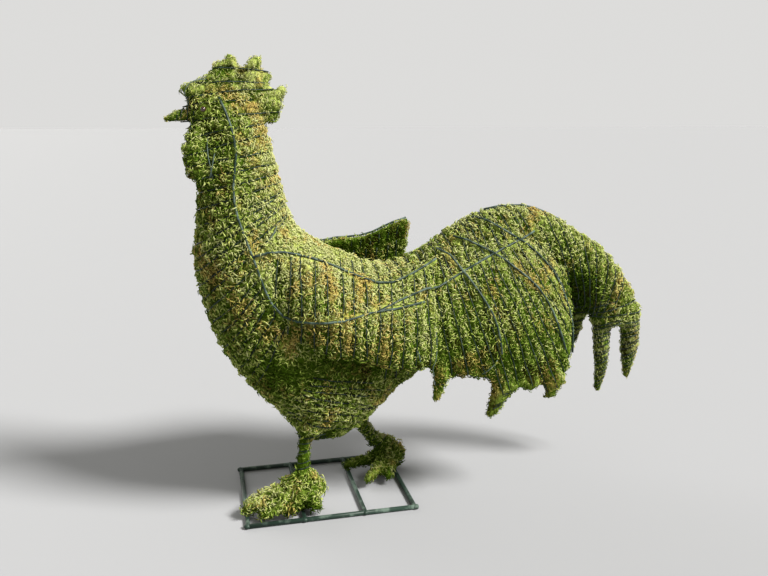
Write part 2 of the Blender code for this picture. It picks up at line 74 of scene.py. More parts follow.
# Windings: a wire laid round the moss again and again.  Each one is a fan of planes that
# stand across the side view.  A key is (x, z, lean), a place the planes pass and the slope
# of the wire there in degrees, seen from the left.  The pitch is the spacing of the planes.
# The outline is the part of the side view, as (x, z), that the winding keeps to.  Places and
# pitches are in millimetres.  The strip is how wide the parting beside the wire is, set
# against a usual one.
WINDINGS = {
    "beak": dict(
        pitch=8.5,
        keys=((-186, 529, 80), (-156, 536, 80)),
        outline=((-200, 505), (-200, 550), (-156, 556), (-150, 518))),
    "comb": dict(
        pitch=11.5, strip=0.6,
        keys=((-110, 588, -4), (-110, 560, 6)),
        outline=((-170, 549), (-170, 600), (-50, 600), (-55, 553), (-110, 556))),
    "neck": dict(
        pitch=17.2, strip=0.55,
        keys=((-110, 548, 4), (-110, 500, 13), (-110, 443, 10), (-120, 392, 28), (-128, 358, 34),
              (-128, 318, 42), (-120, 278, 48), (-105, 235, 56), (-85, 190, 64)),
        outline=((-170, 552), (-45, 552), (-30, 430), (-60, 383), (-86, 353), (-82, 305),
                 (-52, 262), (-20, 232), (-12, 200), (-50, 160), (-250, 90), (-250, 450))),
    "wings": dict(
        pitch=17.2, strip=1.25,
        keys=((-62, 290, 84), (-28, 290, 89), (44, 280, 88), (99, 280, 86), (138, 280, 90)),
        outline=((-84, 348), (-40, 366), (0, 352), (60, 338), (142, 352), (142, 190), (110, 178),
                 (66, 190), (50, 226), (0, 226), (-45, 252), (-82, 290))),
    "raised_wing": dict(
        pitch=15.8, strip=0.9,
        keys=((52, 360, 86), (138, 380, 84)),
        outline=((46, 345), (60, 338), (142, 352), (150, 425), (100, 420), (50, 390))),
    "tail": dict(
        pitch=15.2, strip=1.25,
        keys=((156, 290, 98), (178, 300, 108), (250, 290, 108), (290, 280, 117), (330, 335, 120),
              (372, 320, 108), (410, 295, 92), (448, 275, 66)),
        outline=((142, 170), (142, 440), (480, 420), (500, 250), (395, 235), (352, 200),
                 (335, 150), (230, 160))),
    "plume_end": dict(
        pitch=12,
        keys=((440, 262, 20), (440, 238, 4)),
        outline=((395, 215), (395, 300), (430, 262), (510, 275), (510, 215))),
    "inner_sickle": dict(
        pitch=6.8,
        keys=((432, 226, 14), (434, 165, 26), (430, 121, 24)),
        outline=((405, 235), (455.5, 235), (455.5, 100), (405, 100))),
    "outer_sickle": dict(
        pitch=8,
        keys=((479, 226, 6), (480, 180, 22), (478, 136, 30)),
        outline=((456.5, 235), (510, 235), (510, 110), (456.5, 110))),
    "front_tip": dict(
        pitch=9,
        keys=((148, 182, 4), (143, 155, 12)),
        outline=((130, 188), (172, 188), (172, 140), (130, 140))),
    "long_tip": dict(
        pitch=8,
        keys=((238, 160, 16), (224, 128, 28)),
        outline=((205, 168), (258, 160), (245, 115), (205, 115))),
    "rear_tip": dict(
        pitch=9,
        keys=((312, 162, 4), (309, 145, 14)),
        outline=((292, 168), (338, 168), (332, 130), (292, 130))),
    "thighs": dict(
        pitch=11.2, strip=0.5,
        keys=((10, 196, -6), (12, 160, -14), (10, 112, -16)),
        outline=((-52, 168), (-20, 205), (55, 200), (66, 176), (110, 170), (110, 98), (-60, 98))),
    "left_shank": dict(
        pitch=7.8,
        keys=((-31, 100, 8), (-36, 58, 14)),
        outline=((-60, 108), (0, 108), (0, 50), (-60, 50))),
    "right_shank": dict(
        pitch=8.6,
        keys=((56, 98, 38), (88, 50, 38)),
        outline=((30, 90), (68, 108), (108, 60), (85, 30))),
}

# Bare wires that stand clear of the moss here and there, as x, |y|, z in millimetres on one
# side.  Each is let down onto the moss, with its ends tucked in.
BARE_WIRES = {
    "wattle_front": ((-142.5, 31, 508.5), (-142.5, 35.5, 490), (-140.5, 39, 470),
                     (-139, 39, 453.8)),
    "wattle_rear": ((-134.5, 38.5, 491.5), (-135.5, 39, 476), (-140, 39, 461), (-144, 36.5, 453)),
    "shoulder": ((-78, 72, 374.5), (-69, 65.5, 386), (-59, 57, 399.5)),
    "flank": ((110, 106, 236), (115, 90, 208), (120, 76, 185)),
    "skirt_edge": ((203.5, 95, 189), (215, 97.5, 200), (227.5, 97.5, 212)),
    "skirt_front": ((144.2, 90, 270), (138.9, 92.5, 243.9), (134.7, 93.5, 206.1),
                    (132.5, 91.5, 176)),
    "brow": ((-168.5, 6, 551), (-157.5, 9, 572.2), (-141, 9.5, 581.2)),
}

# Where the moss has died back to straw and rust, on both flanks: x, z and radius in
# millimetres.
BROWN_PATCHES = (
    (-43, 324, 13), (3, 317, 9), (40, 314, 8), (-24, 269, 18), (5, 250, 20), (64, 225, 16),
    (105, 277, 13), (119, 310, 13), (-89, 380, 12), (-106, 307, 10), (-70, 262, 15),
    (-80, 501, 10), (-128, 465, 8), (-60, 455, 9), (222, 309, 18), (262, 331, 12), (289, 313, 14),
    (266, 395, 10), (316, 393, 16), (435, 264, 10), (-112, 550, 9), (300, 190, 14),
    (180, 215, 14), (-85, 545, 9), (-78, 572, 9), (-100, 590, 9), (-70, 592, 7), (-50, 570, 7),
    (-100, 20, 17), (-58, 30, 14), (-30, 45, 14), (-22, 102, 6), (-42, 262, 13), (24, 246, 16),
    (83, 222, 13), (117, 238, 13), (77, 270, 13), (-3, 262, 10), (-10, 340, 8), (20, 285, 10),
    (6, 172, 12), (-8, 182, 8),
)

WIRE_TWIST = 0.10            # how much a turn climbs on its way round to the far side
WIRE_STEP = 0.0015           # spacing of the points that the moss is drawn in around
WIRE_POINT_EVERY = 5         # the wire itself bends at one in so many of those points
WIRE_WANDER = 0.0030         # how far a turn strays from its plane
WIRE_SLIP = 5.0              # and how many degrees it may lean more or less
NARROW_SINK = 0.0016         # how much deeper a wire lies as its strip narrows to nothing
SHORTEST_RUN = 0.010         # shorter scraps of winding are left out
BARE_WIRE_STEP = 0.004       # spacing of the bends in a bare wire

LOWEST = 0.0004              # moss fibres keep this far off the ground
SAME_PLACE = 0.00001         # points nearer than this are one
STOUT_FROM = 0.010           # moss thinner than this keeps closest to its solid,
STOUT_TO = 0.032             # and moss thicker than this is stout, and as lumpy as any
FARTHEST_BEHIND = 0.06       # how deep the moss is looked through for its thickness
SWELL_REACH = 0.0075         # the moss has swollen up again this far from a wire
ROD_REACH = 0.0045           # moss nearer to a rod than this keeps to its solid
ROD_NEAR = 0.02              # and rods farther off than this are not looked for
LUMP_SCALE = 55.0            # how close together the lumps are
FOOT_TOP = 0.060             # the moss of the left foot lies below this,
FOOT_LOOSE = 2.4             # and its lumps and tufts are so much higher than elsewhere
COMB_FOOT = 0.556            # the moss of the comb lies above this,
COMB_LOOSE = 0.9             # and its lumps and tufts are so much higher
TIP_TOP = 0.180              # the hanging tips of the skirt are plumper below this,
TIP_FULL = 0.166             # and plumpest from here down,
TIP_FRONT = 0.120            # between this place along X
TIP_BACK = 0.380             # and this one
GROOVE_BOTTOM = -0.0046      # a move that counts as the bottom of a groove,
LUMP_TOP = -0.0004           # and one that counts as the top of a lump
SHELTER_REACH = 0.060        # other moss nearer than this shelters a place from the sun,
SHELTER_LOOKS = 5            # and this many looks are taken round it for that

OVERSOWN = 1.32              # fibres drawn for each one kept, as pits and partings stay bare
BARE_BELOW = -0.24           # tuft level under which the moss is mostly bare
ROOT_DEPTH = 0.0006          # how far under the mat a fibre starts
STRAYS = 0.008               # share of the fibres that stand out from the rest,
FOOT_STRAYS = 0.05           # and how many more do on the left foot
ROD_CLEAR = 0.0008           # fibres stay this far from a rod,
ROD_FRINGE = 0.012           # and may be turned away from it up to here
EYE_CLEAR = 0.0048           # fibres stay this far from the middle of an eye,
EYE_FRINGE = 0.0085          # and are short and turned away up to here
CURL_RING = 0.66             # a curl has its ring this far along,
CURL_FULLER = 1.7            # and is so much fuller there
FIBRE_MARKS = ("tint", "sun", "rust", "shelter")  # what each fibre carries for its material, painted light and shade among them
PAINTED_LIGHT_SIDE = (0.62, -0.05, 0.78)                  # moss facing this way is painted paler: painted light
PATCH_STRENGTH = 0.55        # how much browner the moss is in the middle of a brown patch,
PATCH_SQUEEZE = 0.7          # and how much narrower than tall the patch is

FLOOR_SIZE = 40.0            # the floor reaches this far each way
LAMP_COLOUR = (1.0, 0.985, 0.93)
ROOM_COLOUR = (1.0, 0.99, 0.91)


def fade(values, low, high):
    """0 at low, 1 at high, and straight in between."""
    return np.clip((values - low) / (high - low), 0.0, 1.0)


def band(values, low, full, still_full, high):
    """0 at low, 1 from full to still_full, and 0 again at high."""
    return fade(values, low, full) * fade(values, high, still_full)


def coats(x, y, z):
    """Places where the moss is laid another way: the share of it there, and how.

    A coat says how long and how thick its fibres are and how far they lift, set against
    usual ones, how much paler they are, and how nearly they follow the wires.  Paleness is
    the moss's own tone in some coats; in others it is painted light on lit places, and a
    negative one is painted shade in shadowed places, as marked at each coat.
    """
    left, right = y < 0.0, y > 0.0
    return {
        "comb": (fade(z, 0.552, 0.562),
                 dict(length=0.60, girth=1.40, lift=1.3, pale=0.38, along=0.2)),
        "beak": ((x < -0.160) & (z > 0.51) & (z < 0.553),
                 dict(length=0.46, girth=1.50, lift=0.9, pale=0.70, along=0.7)),
        # painted fill light: the shaded breast front is painted paler
        "breast": (fade(x, -0.075, -0.100) * fade(z, 0.430, 0.390), dict(pale=0.28)),
        # painted fill light: the shaded belly is painted paler
        "belly": (band(x, -0.110, -0.080, 0.065, 0.095) * band(z, 0.090, 0.115, 0.184, 0.206),
                  dict(lift=1.2, pale=0.34)),
        "breast_fringe": (fade(x, -0.060, -0.090) * band(z, 0.150, 0.170, 0.245, 0.270),
                          dict(length=1.15, lift=1.7)),
        "left_foot": (left & (z < FOOT_TOP), dict(length=1.25, girth=0.80, lift=1.6, pale=0.12)),
        # painted shade: the shaded left shank is painted darker
        "left_shank": (left * (x < 0.01) * (x > -0.075) * band(z, 0.050, 0.062, 0.104, 0.116),
                       dict(length=0.8, lift=0.7, pale=-0.45)),
        "left_heel": (left * fade(z, 0.085, 0.070) * fade(x, -0.075, -0.050),
                      dict(length=0.9, pale=-0.45)),
        # painted shade: the far foot, in shadow, is painted darker
        "right_foot": (right & (z < 0.052), dict(length=1.30, girth=0.85, lift=1.5, pale=-0.38)),
        "sickles": ((x > 0.400) * fade(z, 0.238, 0.228),
                    dict(length=0.55, girth=1.60, lift=0.3, pale=0.90, along=0.95)),
        "skirt_tips": ((z < 0.172) & (x > 0.125),
                       dict(length=0.75, girth=1.20, lift=0.9, pale=-0.15, along=0.4)),
        # painted shade: the hollow inside the tail is painted nearly black
        "tail_hollow_shade": (band(x, 0.325, 0.345, 0.395, 0.415) * band(z, 0.190, 0.205, 0.300, 0.320)
                        * fade(abs(y), 0.062, 0.052), dict(pale=-0.90)),
        # the lower skirt is darker: painted shade, and greener moss
        "low_skirt": (band(z, 0.165, 0.180, 0.235, 0.265) * band(x, 0.140, 0.165, 0.350, 0.375),
                      dict(pale=-0.25)),
        # painted shade: the inner face of the raised far wing is painted darker
        "raised_wing": ((y > 0.03) & (y < 0.090) & (x < 0.16) & (z > 0.345) & (x > 0.03),
                        dict(pale=-0.60, along=0.2)),
        "neck_back": (fade(x, -0.090, -0.060) * (x < 0.0) * band(z, 0.360, 0.390, 0.520, 0.540),
                      dict(pale=0.06)),
        # painted shadow: the band under the wing's lower edge is painted darker
        "under_wing_shadow": (band(z, 0.160, 0.192, 0.216, 0.234) * band(x, -0.110, -0.075, 0.045, 0.090)
                       * fade(abs(y), 0.099, 0.088), dict(pale=-0.50)),
        # painted light: the lit shoulder is painted paler
        "shoulder": (band(x, -0.110, -0.085, 0.000, 0.020) * fade(z, 0.300, 0.330),
                     dict(pale=0.37)),
        # painted light: the lit flank of the wing is painted paler
        "wing": (band(x, -0.075, -0.050, 0.120, 0.150) * band(z, 0.212, 0.236, 0.340, 0.360),
                 dict(pale=0.22)),
        # painted light: the lit top of the tail is painted paler
        "tail_top": (band(x, 0.140, 0.180, 0.320, 0.360) * fade(z, 0.310, 0.340),
                     dict(pale=0.23)),
        # painted shade: the lowest moss, under the feet, is painted darker
        "under_foot": (fade(z, 0.024, 0.012), dict(lift=0.6, pale=-0.30)),
    }


def patches(x, y, z):
    """The fibres, split by place so that each piece stays light; the first fit counts."""
    return {
        "moss_neck": (z > 0.36) & (x < 0.0),
        "moss_breast": (z <= 0.36) & (x < -0.062),
        "moss_legs": (z <= 0.20) & (x >= -0.062) & (x < 0.125),
        "moss_left_wing": (y < 0) & (x < 0.140),
        "moss_right_wing": (y >= 0) & (x < 0.140),
        "moss_left_tail": y < 0,
        "moss_right_tail": y >= 0,
    }


# ---------------------------------------------------------------- sizes and colours
Length = functools.partial(FloatProperty, unit="LENGTH")
Angle = functools.partial(FloatProperty, subtype="ANGLE")
Direction = functools.partial(FloatVectorProperty, subtype="DIRECTION")
Colour = functools.partial(FloatVectorProperty, subtype="COLOR")


class MossSizes(bpy.types.PropertyGroup):
    """The mat, its fibres and its grooves"""

    grid: Length(name="Grid", description="Spacing of the mat's mesh", default=0.0036)
    plump: Length(name="Plump tips", default=0.0036,
                  description="How much fuller the hanging tips are")
    inset: Length(name="Inset", description="How far the mat lies under the fibres",
                  default=0.0024)
    pillow: Length(name="Pillow", description="How much the moss swells between wires",
                   default=0.0010)
    groove: Length(name="Groove", description="How deep a wire draws the moss in",
                   default=0.0022)
    groove_width: Length(name="Groove width", description="Half width of that groove",
                         default=0.0030)
    lump: Length(name="Lumps", description="Height of the uneven lumps in the moss",
                 default=0.0013)
    tufts: Length(name="Tufts", description="Height of the small tufts and pits",
                  default=0.0017)
    fibres: IntProperty(name="Fibres", description="Loose fibres over the whole bird",
                        default=81000)
    fibre_length: Length(name="Fibre length", description="Length of a usual fibre",
                         default=0.0092)
    parting: Length(name="Parting", description="Bare strip kept beside a wire", default=0.0017)
    wire_sink: Length(name="Wire sink", description="How far a wire lies under the solid",
                      default=0.0002)
    seed: IntProperty(name="Seed", description="Start of the random draws", default=7)


class WireSizes(bpy.types.PropertyGroup):
    """The wires, the rods and the welds"""

    winding: Length(name="Winding wire", description="Diameter of the wire round the moss",
                    default=0.0015)
    bare: Length(name="Bare wire", description="Diameter of the stray outline wires",
                 default=0.0013)
    slimmer: Length(name="Rod trim", description="How far a moss rod is trimmed all round",
                    default=0.0001)
    bedding: Length(name="Rod bedding", description="How far a moss rod is pressed in",
                    default=0.0005)
    proud: Length(name="Bare wire rise", description="How far a stray wire stands clear",
                  default=0.0062)
    tuck: Length(name="Bare wire tuck", description="How deep its ends are tucked in",
                 default=0.0030)
    bead: Length(name="Weld bead", description="Radius of a weld on the ground frame",
                 default=0.0046)


class MossColours(bpy.types.PropertyGroup):
    """The colours of the moss"""

    straw: Colour(name="Straw", description="Palest, sun-bleached fibres",
                  default=(0.455, 0.472, 0.208))
    lime: Colour(name="Lime", description="Fresh yellow-green fibres",
                 default=(0.42, 0.480, 0.125))
    leaf: Colour(name="Leaf", description="Middle green fibres", default=(0.202, 0.286, 0.038))
    deep: Colour(name="Deep", description="Dark green fibres in the shade",
                 default=(0.045, 0.087, 0.004))
    rust: Colour(name="Rust", description="Dead, orange-brown fibres",
                 default=(0.49, 0.335, 0.090))
    earth: Colour(name="Earth", description="Dark brown moss inside the mat",
                  default=(0.027, 0.029, 0.003))


class MetalColours(bpy.types.PropertyGroup):
    """The colours of paint, wire and eyes"""

    paint: Colour(name="Rod paint", description="Dark green paint on the rods",
                  default=(0.015, 0.034, 0.024))
    worn: Colour(name="Worn paint", description="Chalky paint where it has worn",
                 default=(0.090, 0.130, 0.105))
    wire: Colour(name="Wire coat", description="Coat of the winding wire",
                 default=(0.010, 0.021, 0.013))
    eye: Colour(name="Eye", description="The dark brown bead", default=(0.020, 0.005, 0.003))


class StudioSizes(bpy.types.PropertyGroup):
    """The camera, the lights and the room"""

    camera_place: FloatVectorProperty(name="Camera", description="Camera, from the ground frame",
                                      default=(-0.1515, -1.0240, 0.53), subtype="TRANSLATION")
    camera_down: Angle(name="Camera tilt", description="How far it looks down",
                       default=math.radians(12.52))
    camera_turn: Angle(name="Camera turn", description="How far it turns to the tail",
                       default=math.radians(13.3))
    lens: FloatProperty(name="Lens", description="Focal length in millimetres", default=36.0)
    key: FloatProperty(name="Key light", description="Strength of the main light", default=6.7)
    key_from: Direction(name="Key from", description="Way to the main light",
                        default=(0.75, -0.50, 0.90))
    key_width: Angle(name="Key width", description="How wide the main light looks",
                     default=math.radians(17.0))
    fill: FloatProperty(name="Fill light", description="Strength of the light from behind",
                        default=1.3)
    fill_from: Direction(name="Fill from", description="Way to the light from behind",
                         default=(-0.45, 0.85, 0.40))
    sky: FloatProperty(name="Room light", description="Strength of the pale room", default=0.42)
    floor: Colour(name="Floor", description="Colour of the plain floor",
                  default=(0.322, 0.325, 0.345))
    backdrop: Colour(name="Backdrop", description="Pale colour behind the floor",
                     default=(0.722, 0.718, 0.706))


SETTINGS = {
    "topiary_moss": MossSizes,
    "topiary_wires": WireSizes,
    "topiary_colours": MossColours,
    "topiary_metal": MetalColours,
    "topiary_studio": StudioSizes,
}


# ---------------------------------------------------------------- materials
class Value:
    """A number that changes over a surface, to be used in plain expressions."""

    def __init__(self, finish, socket):
        self.finish = finish
        self.socket = socket

    def maths(self, operation, first, second):
        node = self.finish.node("ShaderNodeMath", dict(operation=operation),
                                {0: first, 1: second})
        return Value(self.finish, node.outputs[0])

    def __add__(self, other):
        return self.maths("ADD", self, other)

    def __sub__(self, other):
        return self.maths("SUBTRACT", self, other)

    def __mul__(self, other):
        return self.maths("MULTIPLY", self, other)

    def __rsub__(self, other):
        return self.maths("SUBTRACT", other, self)

    __radd__ = __add__
    __rmul__ = __mul__

    def between(self, low, high):
        """0 below low, 1 above high, and a soft step from one to the other."""
        node = self.finish.node("ShaderNodeMapRange", dict(interpolation_type="SMOOTHSTEP"),
                                {"Value": self, "From Min": low, "From Max": high})
        return Value(self.finish, node.outputs[0])


class Finish:
    """A material with one shader, whose nodes are added by short calls."""

    def __init__(self, name, **constants):
        self.material = bpy.data.materials.new(name)
        self.material.use_nodes = True
        self.tree = self.material.node_tree
        self.shader = self.tree.nodes["Principled BSDF"]
        for socket, value in constants.items():
            self.shader.inputs[socket.replace("_", " ")].default_value = value

    def node(self, kind, settings=None, sockets=None):
        """Add a node, apply its settings, then set or link its sockets by name or number."""
        made = self.tree.nodes.new(kind)
        for name, value in (settings or {}).items():
            if name == "stops":
                self.set_stops(made.color_ramp, value)
            else:
                setattr(made, name, value)
        for name, value in (sockets or {}).items():
            self.feed(self.find(made.inputs, name), value)
        return made

    def set_stops(self, ramp, stops):
        while len(ramp.elements) < len(stops):
            ramp.elements.new(1.0)
        for element, (place, colour) in zip(ramp.elements, stops):
            element.position = place
            element.color = (*colour, 1.0)

    def find(self, sockets, name):
        if isinstance(name, int):
            return sockets[name]
        return next(s for s in sockets if s.enabled and s.name == name)

    def feed(self, socket, value):
        source = value.socket if isinstance(value, Value) else value
        if isinstance(source, bpy.types.NodeSocket):
            self.tree.links.new(source, socket)
        elif socket.type == "RGBA" and len(source) == 3:
            socket.default_value = (*source, 1.0)
        else:
            socket.default_value = source

    def place(self, stretch):
        """Object coordinates, squeezed along each axis."""
        coordinates = self.node("ShaderNodeTexCoord")
        return self.node("ShaderNodeMapping", None, {
            "Vector": coordinates.outputs["Object"], "Scale": stretch}).outputs[0]

    def noise(self, scale, detail, stretch=(1.0, 1.0, 1.0)):
        made = self.node("ShaderNodeTexNoise", None, {
            "Vector": self.place(stretch), "Scale": scale, "Detail": detail})
        return Value(self, made.outputs[0])

    def cells(self, scale):
        """Distance to the middle of the nearest cell."""
        made = self.node("ShaderNodeTexVoronoi", None, {
            "Vector": self.place((1.0, 1.0, 1.0)), "Scale": scale})
        return Value(self, made.outputs["Distance"])

    def attribute(self, name):
        made = self.node("ShaderNodeAttribute", dict(attribute_name=name))
        return Value(self, made.outputs["Fac"])

    def blend(self, factor, first, second):
        """first where the factor is 0, second where it is 1."""
        made = self.node("ShaderNodeMix", dict(data_type="RGBA"), {
            "Factor": factor, "A": first, "B": second})
        return self.find(made.outputs, "Result")

    def use(self, **sockets):
        """Feed the shader's own sockets."""
        for name, value in sockets.items():
            self.feed(self.shader.inputs[name.replace("_", " ")], value)

    def bump(self, height, strength, distance):
        made = self.node("ShaderNodeBump", None, {
            "Strength": strength, "Distance": distance, "Height": height})
        self.use(Normal=made.outputs[0])


def fibre_finish(colours):
    """Loose moss fibres: each has a tint of its own, inside patches of green and rust, with
    painted light and painted shade on top.
    """
    finish = Finish("moss_fibre", Specular_IOR_Level=0.05)
    tint = finish.attribute("tint")
    sun = finish.attribute("sun")
    rust = finish.attribute("rust")
    tip = finish.attribute("tip")
    shelter = finish.attribute("shelter")
    patches = finish.noise(26.0, 3.0)
    flecks = finish.noise(170.0, 1.0)
    # Paleness picks the green: own tint, patches and flecks, plus painted light from the sun mark
    # and painted shade from the occlusion mark.
    pale = (tint * 0.62 + sun * 0.50 + patches * 0.50 + flecks * 0.34 - shelter * 0.65
            - 0.53).between(0.0, 0.86)
    greens = finish.node("ShaderNodeValToRGB", dict(stops=(
        (0.0, colours.deep), (0.32, colours.leaf), (0.63, colours.lime), (1.0, colours.straw))),
        {0: pale})
    # Rust fibres are painted darker where the paleness is low, which carries painted shade.
    browns = finish.blend(pale.between(0.05, 0.60), [c * 0.36 for c in colours.rust], colours.rust)
    mixed = finish.blend(rust, greens.outputs[0], browns)
    # Roots painted darker, towards the earth colour, and more where occluded: painted shade.
    root_shade = (tip * 0.75 + flecks * 0.4 - shelter * 0.50).between(0.10, 0.62)
    finish.use(Base_Color=finish.blend(root_shade, finish.blend(0.72, mixed, colours.earth), mixed),
               Roughness=0.72 + flecks * 0.2)
    return finish.material


def mat_finish(colours):
    """The dense moss under the fibres, dark, with a fine tangled grain; painted shade in grooves,
    pits and hollows, painted light where it faces the lamp.
    """
    finish = Finish("moss_mat", Roughness=0.9, Specular_IOR_Level=0.03)
    height = finish.attribute("height")
    rust = finish.attribute("rust")
    shelter = finish.attribute("shelter")
    sun = finish.attribute("sun")
    patches = finish.noise(30.0, 2.0)
    strands = finish.noise(420.0, 2.0, (1.0, 1.0, 0.35))
    knots = finish.cells(230.0)
    # Painted shade low in the grooves and pits and where occluded, painted light where it faces
    # the lamp, mixed with the grain and patches.
    lit = (height * 0.8 + strands * 0.8 + patches * 0.3 - knots * 0.3 - shelter * 0.5
           + sun * 0.35 - 0.86).between(0.0, 0.70)
    browned = finish.blend(patches.between(0.50, 0.66), colours.deep, colours.earth)
    # Painted light: the mat is limer where it faces the lamp.
    green = finish.blend(sun.between(0.4, 1.5), colours.leaf, colours.lime)
    top = finish.blend(rust * 0.7, green, colours.rust)
    finish.use(Base_Color=finish.blend(lit, browned, top))
    finish.bump(strands - knots * 0.6, 0.9, 0.002)
    return finish.material


def wire_finish(metal):
    """Thin coated wire, dusty in places."""
    finish = Finish("winding_wire", Specular_IOR_Level=0.25)
    dust = finish.noise(140.0, 2.0).between(0.46, 0.66)
    finish.use(Base_Color=finish.blend(dust * 0.35, metal.wire, metal.worn),
               Roughness=0.42 + dust * 0.25)
    finish.bump(finish.noise(900.0, 1.0), 0.2, 0.0003)
    return finish.material


def rod_finish(metal, name, chalk):
    """Painted steel rod, chalky and chipped where it is rubbed."""
    finish = Finish(name, Specular_IOR_Level=0.3)
    clouds = finish.noise(90.0, 4.0)
    chips = finish.cells(260.0).between(0.02, 0.16)
    worn = (clouds + chalk).between(0.50, 0.68)
    finish.use(Base_Color=finish.blend(worn * (0.45 + chips * 0.5), metal.paint, metal.worn),
               Roughness=0.46 + worn * 0.25)
    finish.bump(clouds * 0.4 + chips * 0.6, 0.35, 0.0004)
    return finish.material


def eye_finish(metal):
    """A polished bead with a faint mottle."""
    finish = Finish("eye_bead", Coat_Weight=0.8, Coat_Roughness=0.12)
    mottle = finish.noise(600.0, 2.0).between(0.40, 0.70)
    finish.use(Base_Color=finish.blend(mottle, metal.eye, [c * 3.0 for c in metal.eye]),
               Roughness=0.18 + mottle * 0.06)
    finish.bump(mottle, 0.04, 0.0002)
    return finish.material


def floor_finish(studio):
    """Matt pale card."""
    finish = Finish("floor_card", Roughness=0.9)
    grain = finish.noise(6.0, 3.0)
    finish.use(Base_Color=finish.blend(grain * 0.06, studio.floor,
                                       [c * 0.9 for c in studio.floor]))
    return finish.material


# ---------------------------------------------------------------- shared geometry
def settings(name):
    """One group of the sizes or colours that a user may have changed."""
    return getattr(bpy.context.scene, name)


def spot(x, y, z):
    """A place written from the ground frame, in the model's own coordinates."""
    return Vector((MIDDLE.x + x, MIDDLE.y + y, z))


def from_middle(places):
    """The x, y and z of many places, written from the ground frame."""
    return places[:, 0] - MIDDLE.x, places[:, 1] - MIDDLE.y, places[:, 2]


def unit(ways):
    """A way, or rows of them, made one long."""
    return ways / np.maximum(np.linalg.norm(ways, axis=-1, keepdims=True), 1e-9)


def flattened(ways, normals):
    """A way, or rows of them, laid down along the surface and made one long."""
    return unit(ways - normals * (ways * normals).sum(-1, keepdims=True))


def merged_copy(node):
    """A CAD node's triangles, joined into one closed surface."""
    bm = bmesh.new()
    bm.from_mesh(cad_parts[node].data)
    bmesh.ops.remove_doubles(bm, verts=bm.verts, dist=SAME_PLACE)
    return bm


def linked(name, data):
    """A new object in the scene."""
    obj = bpy.data.objects.new(name, data)
    bpy.context.scene.collection.objects.link(obj)
    return obj


def add_piece(name, mesh, material, slot, *replaced):
    """Link a finished mesh as a piece of the bird."""
    obj = linked(name, mesh)
    mesh.materials.clear()
    mesh.materials.append(material)
    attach(obj, BODY)
    if replaced:
        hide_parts(*replaced)


def mesh_from(bm, name):
    """A bmesh as a mesh that is shaded round."""
    mesh = bpy.data.meshes.new(name)
    bm.to_mesh(mesh)
    bm.free()
    mesh.shade_smooth()
    return mesh


def evaluated_mesh(obj):
    """An object's mesh with its modifiers applied; the object itself is dropped."""
    bpy.context.view_layer.update()
    graph = bpy.context.evaluated_depsgraph_get()
    mesh = bpy.data.meshes.new_from_object(obj.evaluated_get(graph))
    bpy.data.objects.remove(obj, do_unlink=True)
    return mesh


def read_vectors(collection, key, size=3):
    """One row of numbers for each item of a mesh's collection."""
    values = np.empty(len(collection) * size, np.float32)
    collection.foreach_get(key, values)
    return values.reshape(-1, size).astype(float)


def surface_of(mesh):
    """A mesh's surface, for finding the nearest place on it."""
    return BVHTree.FromPolygons(read_vectors(mesh.vertices, "co").tolist(),
                                [face.vertices[:] for face in mesh.polygons])


def set_points(mesh, points):
    """Move a mesh's points."""
    mesh.vertices.foreach_set("co", points.astype(np.float32).ravel())


def inside_outline(points, outline):
    """Which points lie inside an outline of the side view that is given in millimetres."""
    x, _, z = from_middle(points)
    found = np.zeros(len(points), bool)
    corners = np.array(outline) / 1000
    for (x1, z1), (x2, z2) in zip(corners, np.roll(corners, -1, axis=0)):
        if z1 != z2:
            found ^= ((z1 > z) != (z2 > z)) & (x < x1 + (z - z1) * (x2 - x1) / (z2 - z1))
    return found


def resampled(rows, measured, step, fewest):
    """Rows spaced evenly along the line that their first, measured columns draw."""
    moves = np.diff(rows[:, :measured], axis=0)
    lengths = np.concatenate([[0.0], np.cumsum(np.linalg.norm(moves, axis=1))])
    count = max(int(round(lengths[-1] / step)), fewest)
    wanted = np.linspace(0.0, lengths[-1], count + 1)
    return np.stack([np.interp(wanted, lengths, column) for column in rows.T], axis=1)


def even_steps(points, step, closed):
    """The same line with its points evenly spaced."""
    if closed:
        return resampled(np.vstack([points, points[:1]]), 3, step, 3)[:-1]
    return resampled(points, 3, step, 3)


def relaxed(points, passes, closed):
    """A line pulled straighter, as a taut wire is."""
    for _ in range(passes):
        pulled = (np.roll(points, 1, axis=0) + points + np.roll(points, -1, axis=0)) / 3
        if not closed:
            pulled[[0, -1]] = points[[0, -1]]
        points = pulled
    return points


def chained(edges):
    """Cut edges joined end to end: lists of points, each with whether it closes."""
    joins = {}
    for edge in edges:
        for here, there in (edge.verts, reversed(edge.verts)):
            joins.setdefault(here, []).append(there)
    lines = []
    while joins:
        start = next((v for v, ends in joins.items() if len(ends) == 1), next(iter(joins)))
        line = [start]
        here = start
        while joins.get(here):
            there = joins[here].pop()
            joins[there].remove(here)
            if not joins[here]:
                del joins[here]
            line.append(there)
            here = there
        joins.pop(here, None)
        closed = len(line) > 3 and line[0] is line[-1]
        if closed:
            line.pop()
        if len(line) > 2:
            lines.append((np.array([v.co for v in line]), closed))
    return lines


def kept_runs(points, closed, keep):
    """The parts of a line where keep is true."""
    if keep.all():
        return [(points, closed)]
    if closed:
        first = int(np.argmin(keep))
        points = np.roll(points, -first, axis=0)
        keep = np.roll(keep, -first)
    edges = np.flatnonzero(np.diff(np.concatenate([[0], keep.astype(int), [0]])))
    return [(points[start:end], False) for start, end in edges.reshape(-1, 2)
            if (end - start) * WIRE_STEP > SHORTEST_RUN]


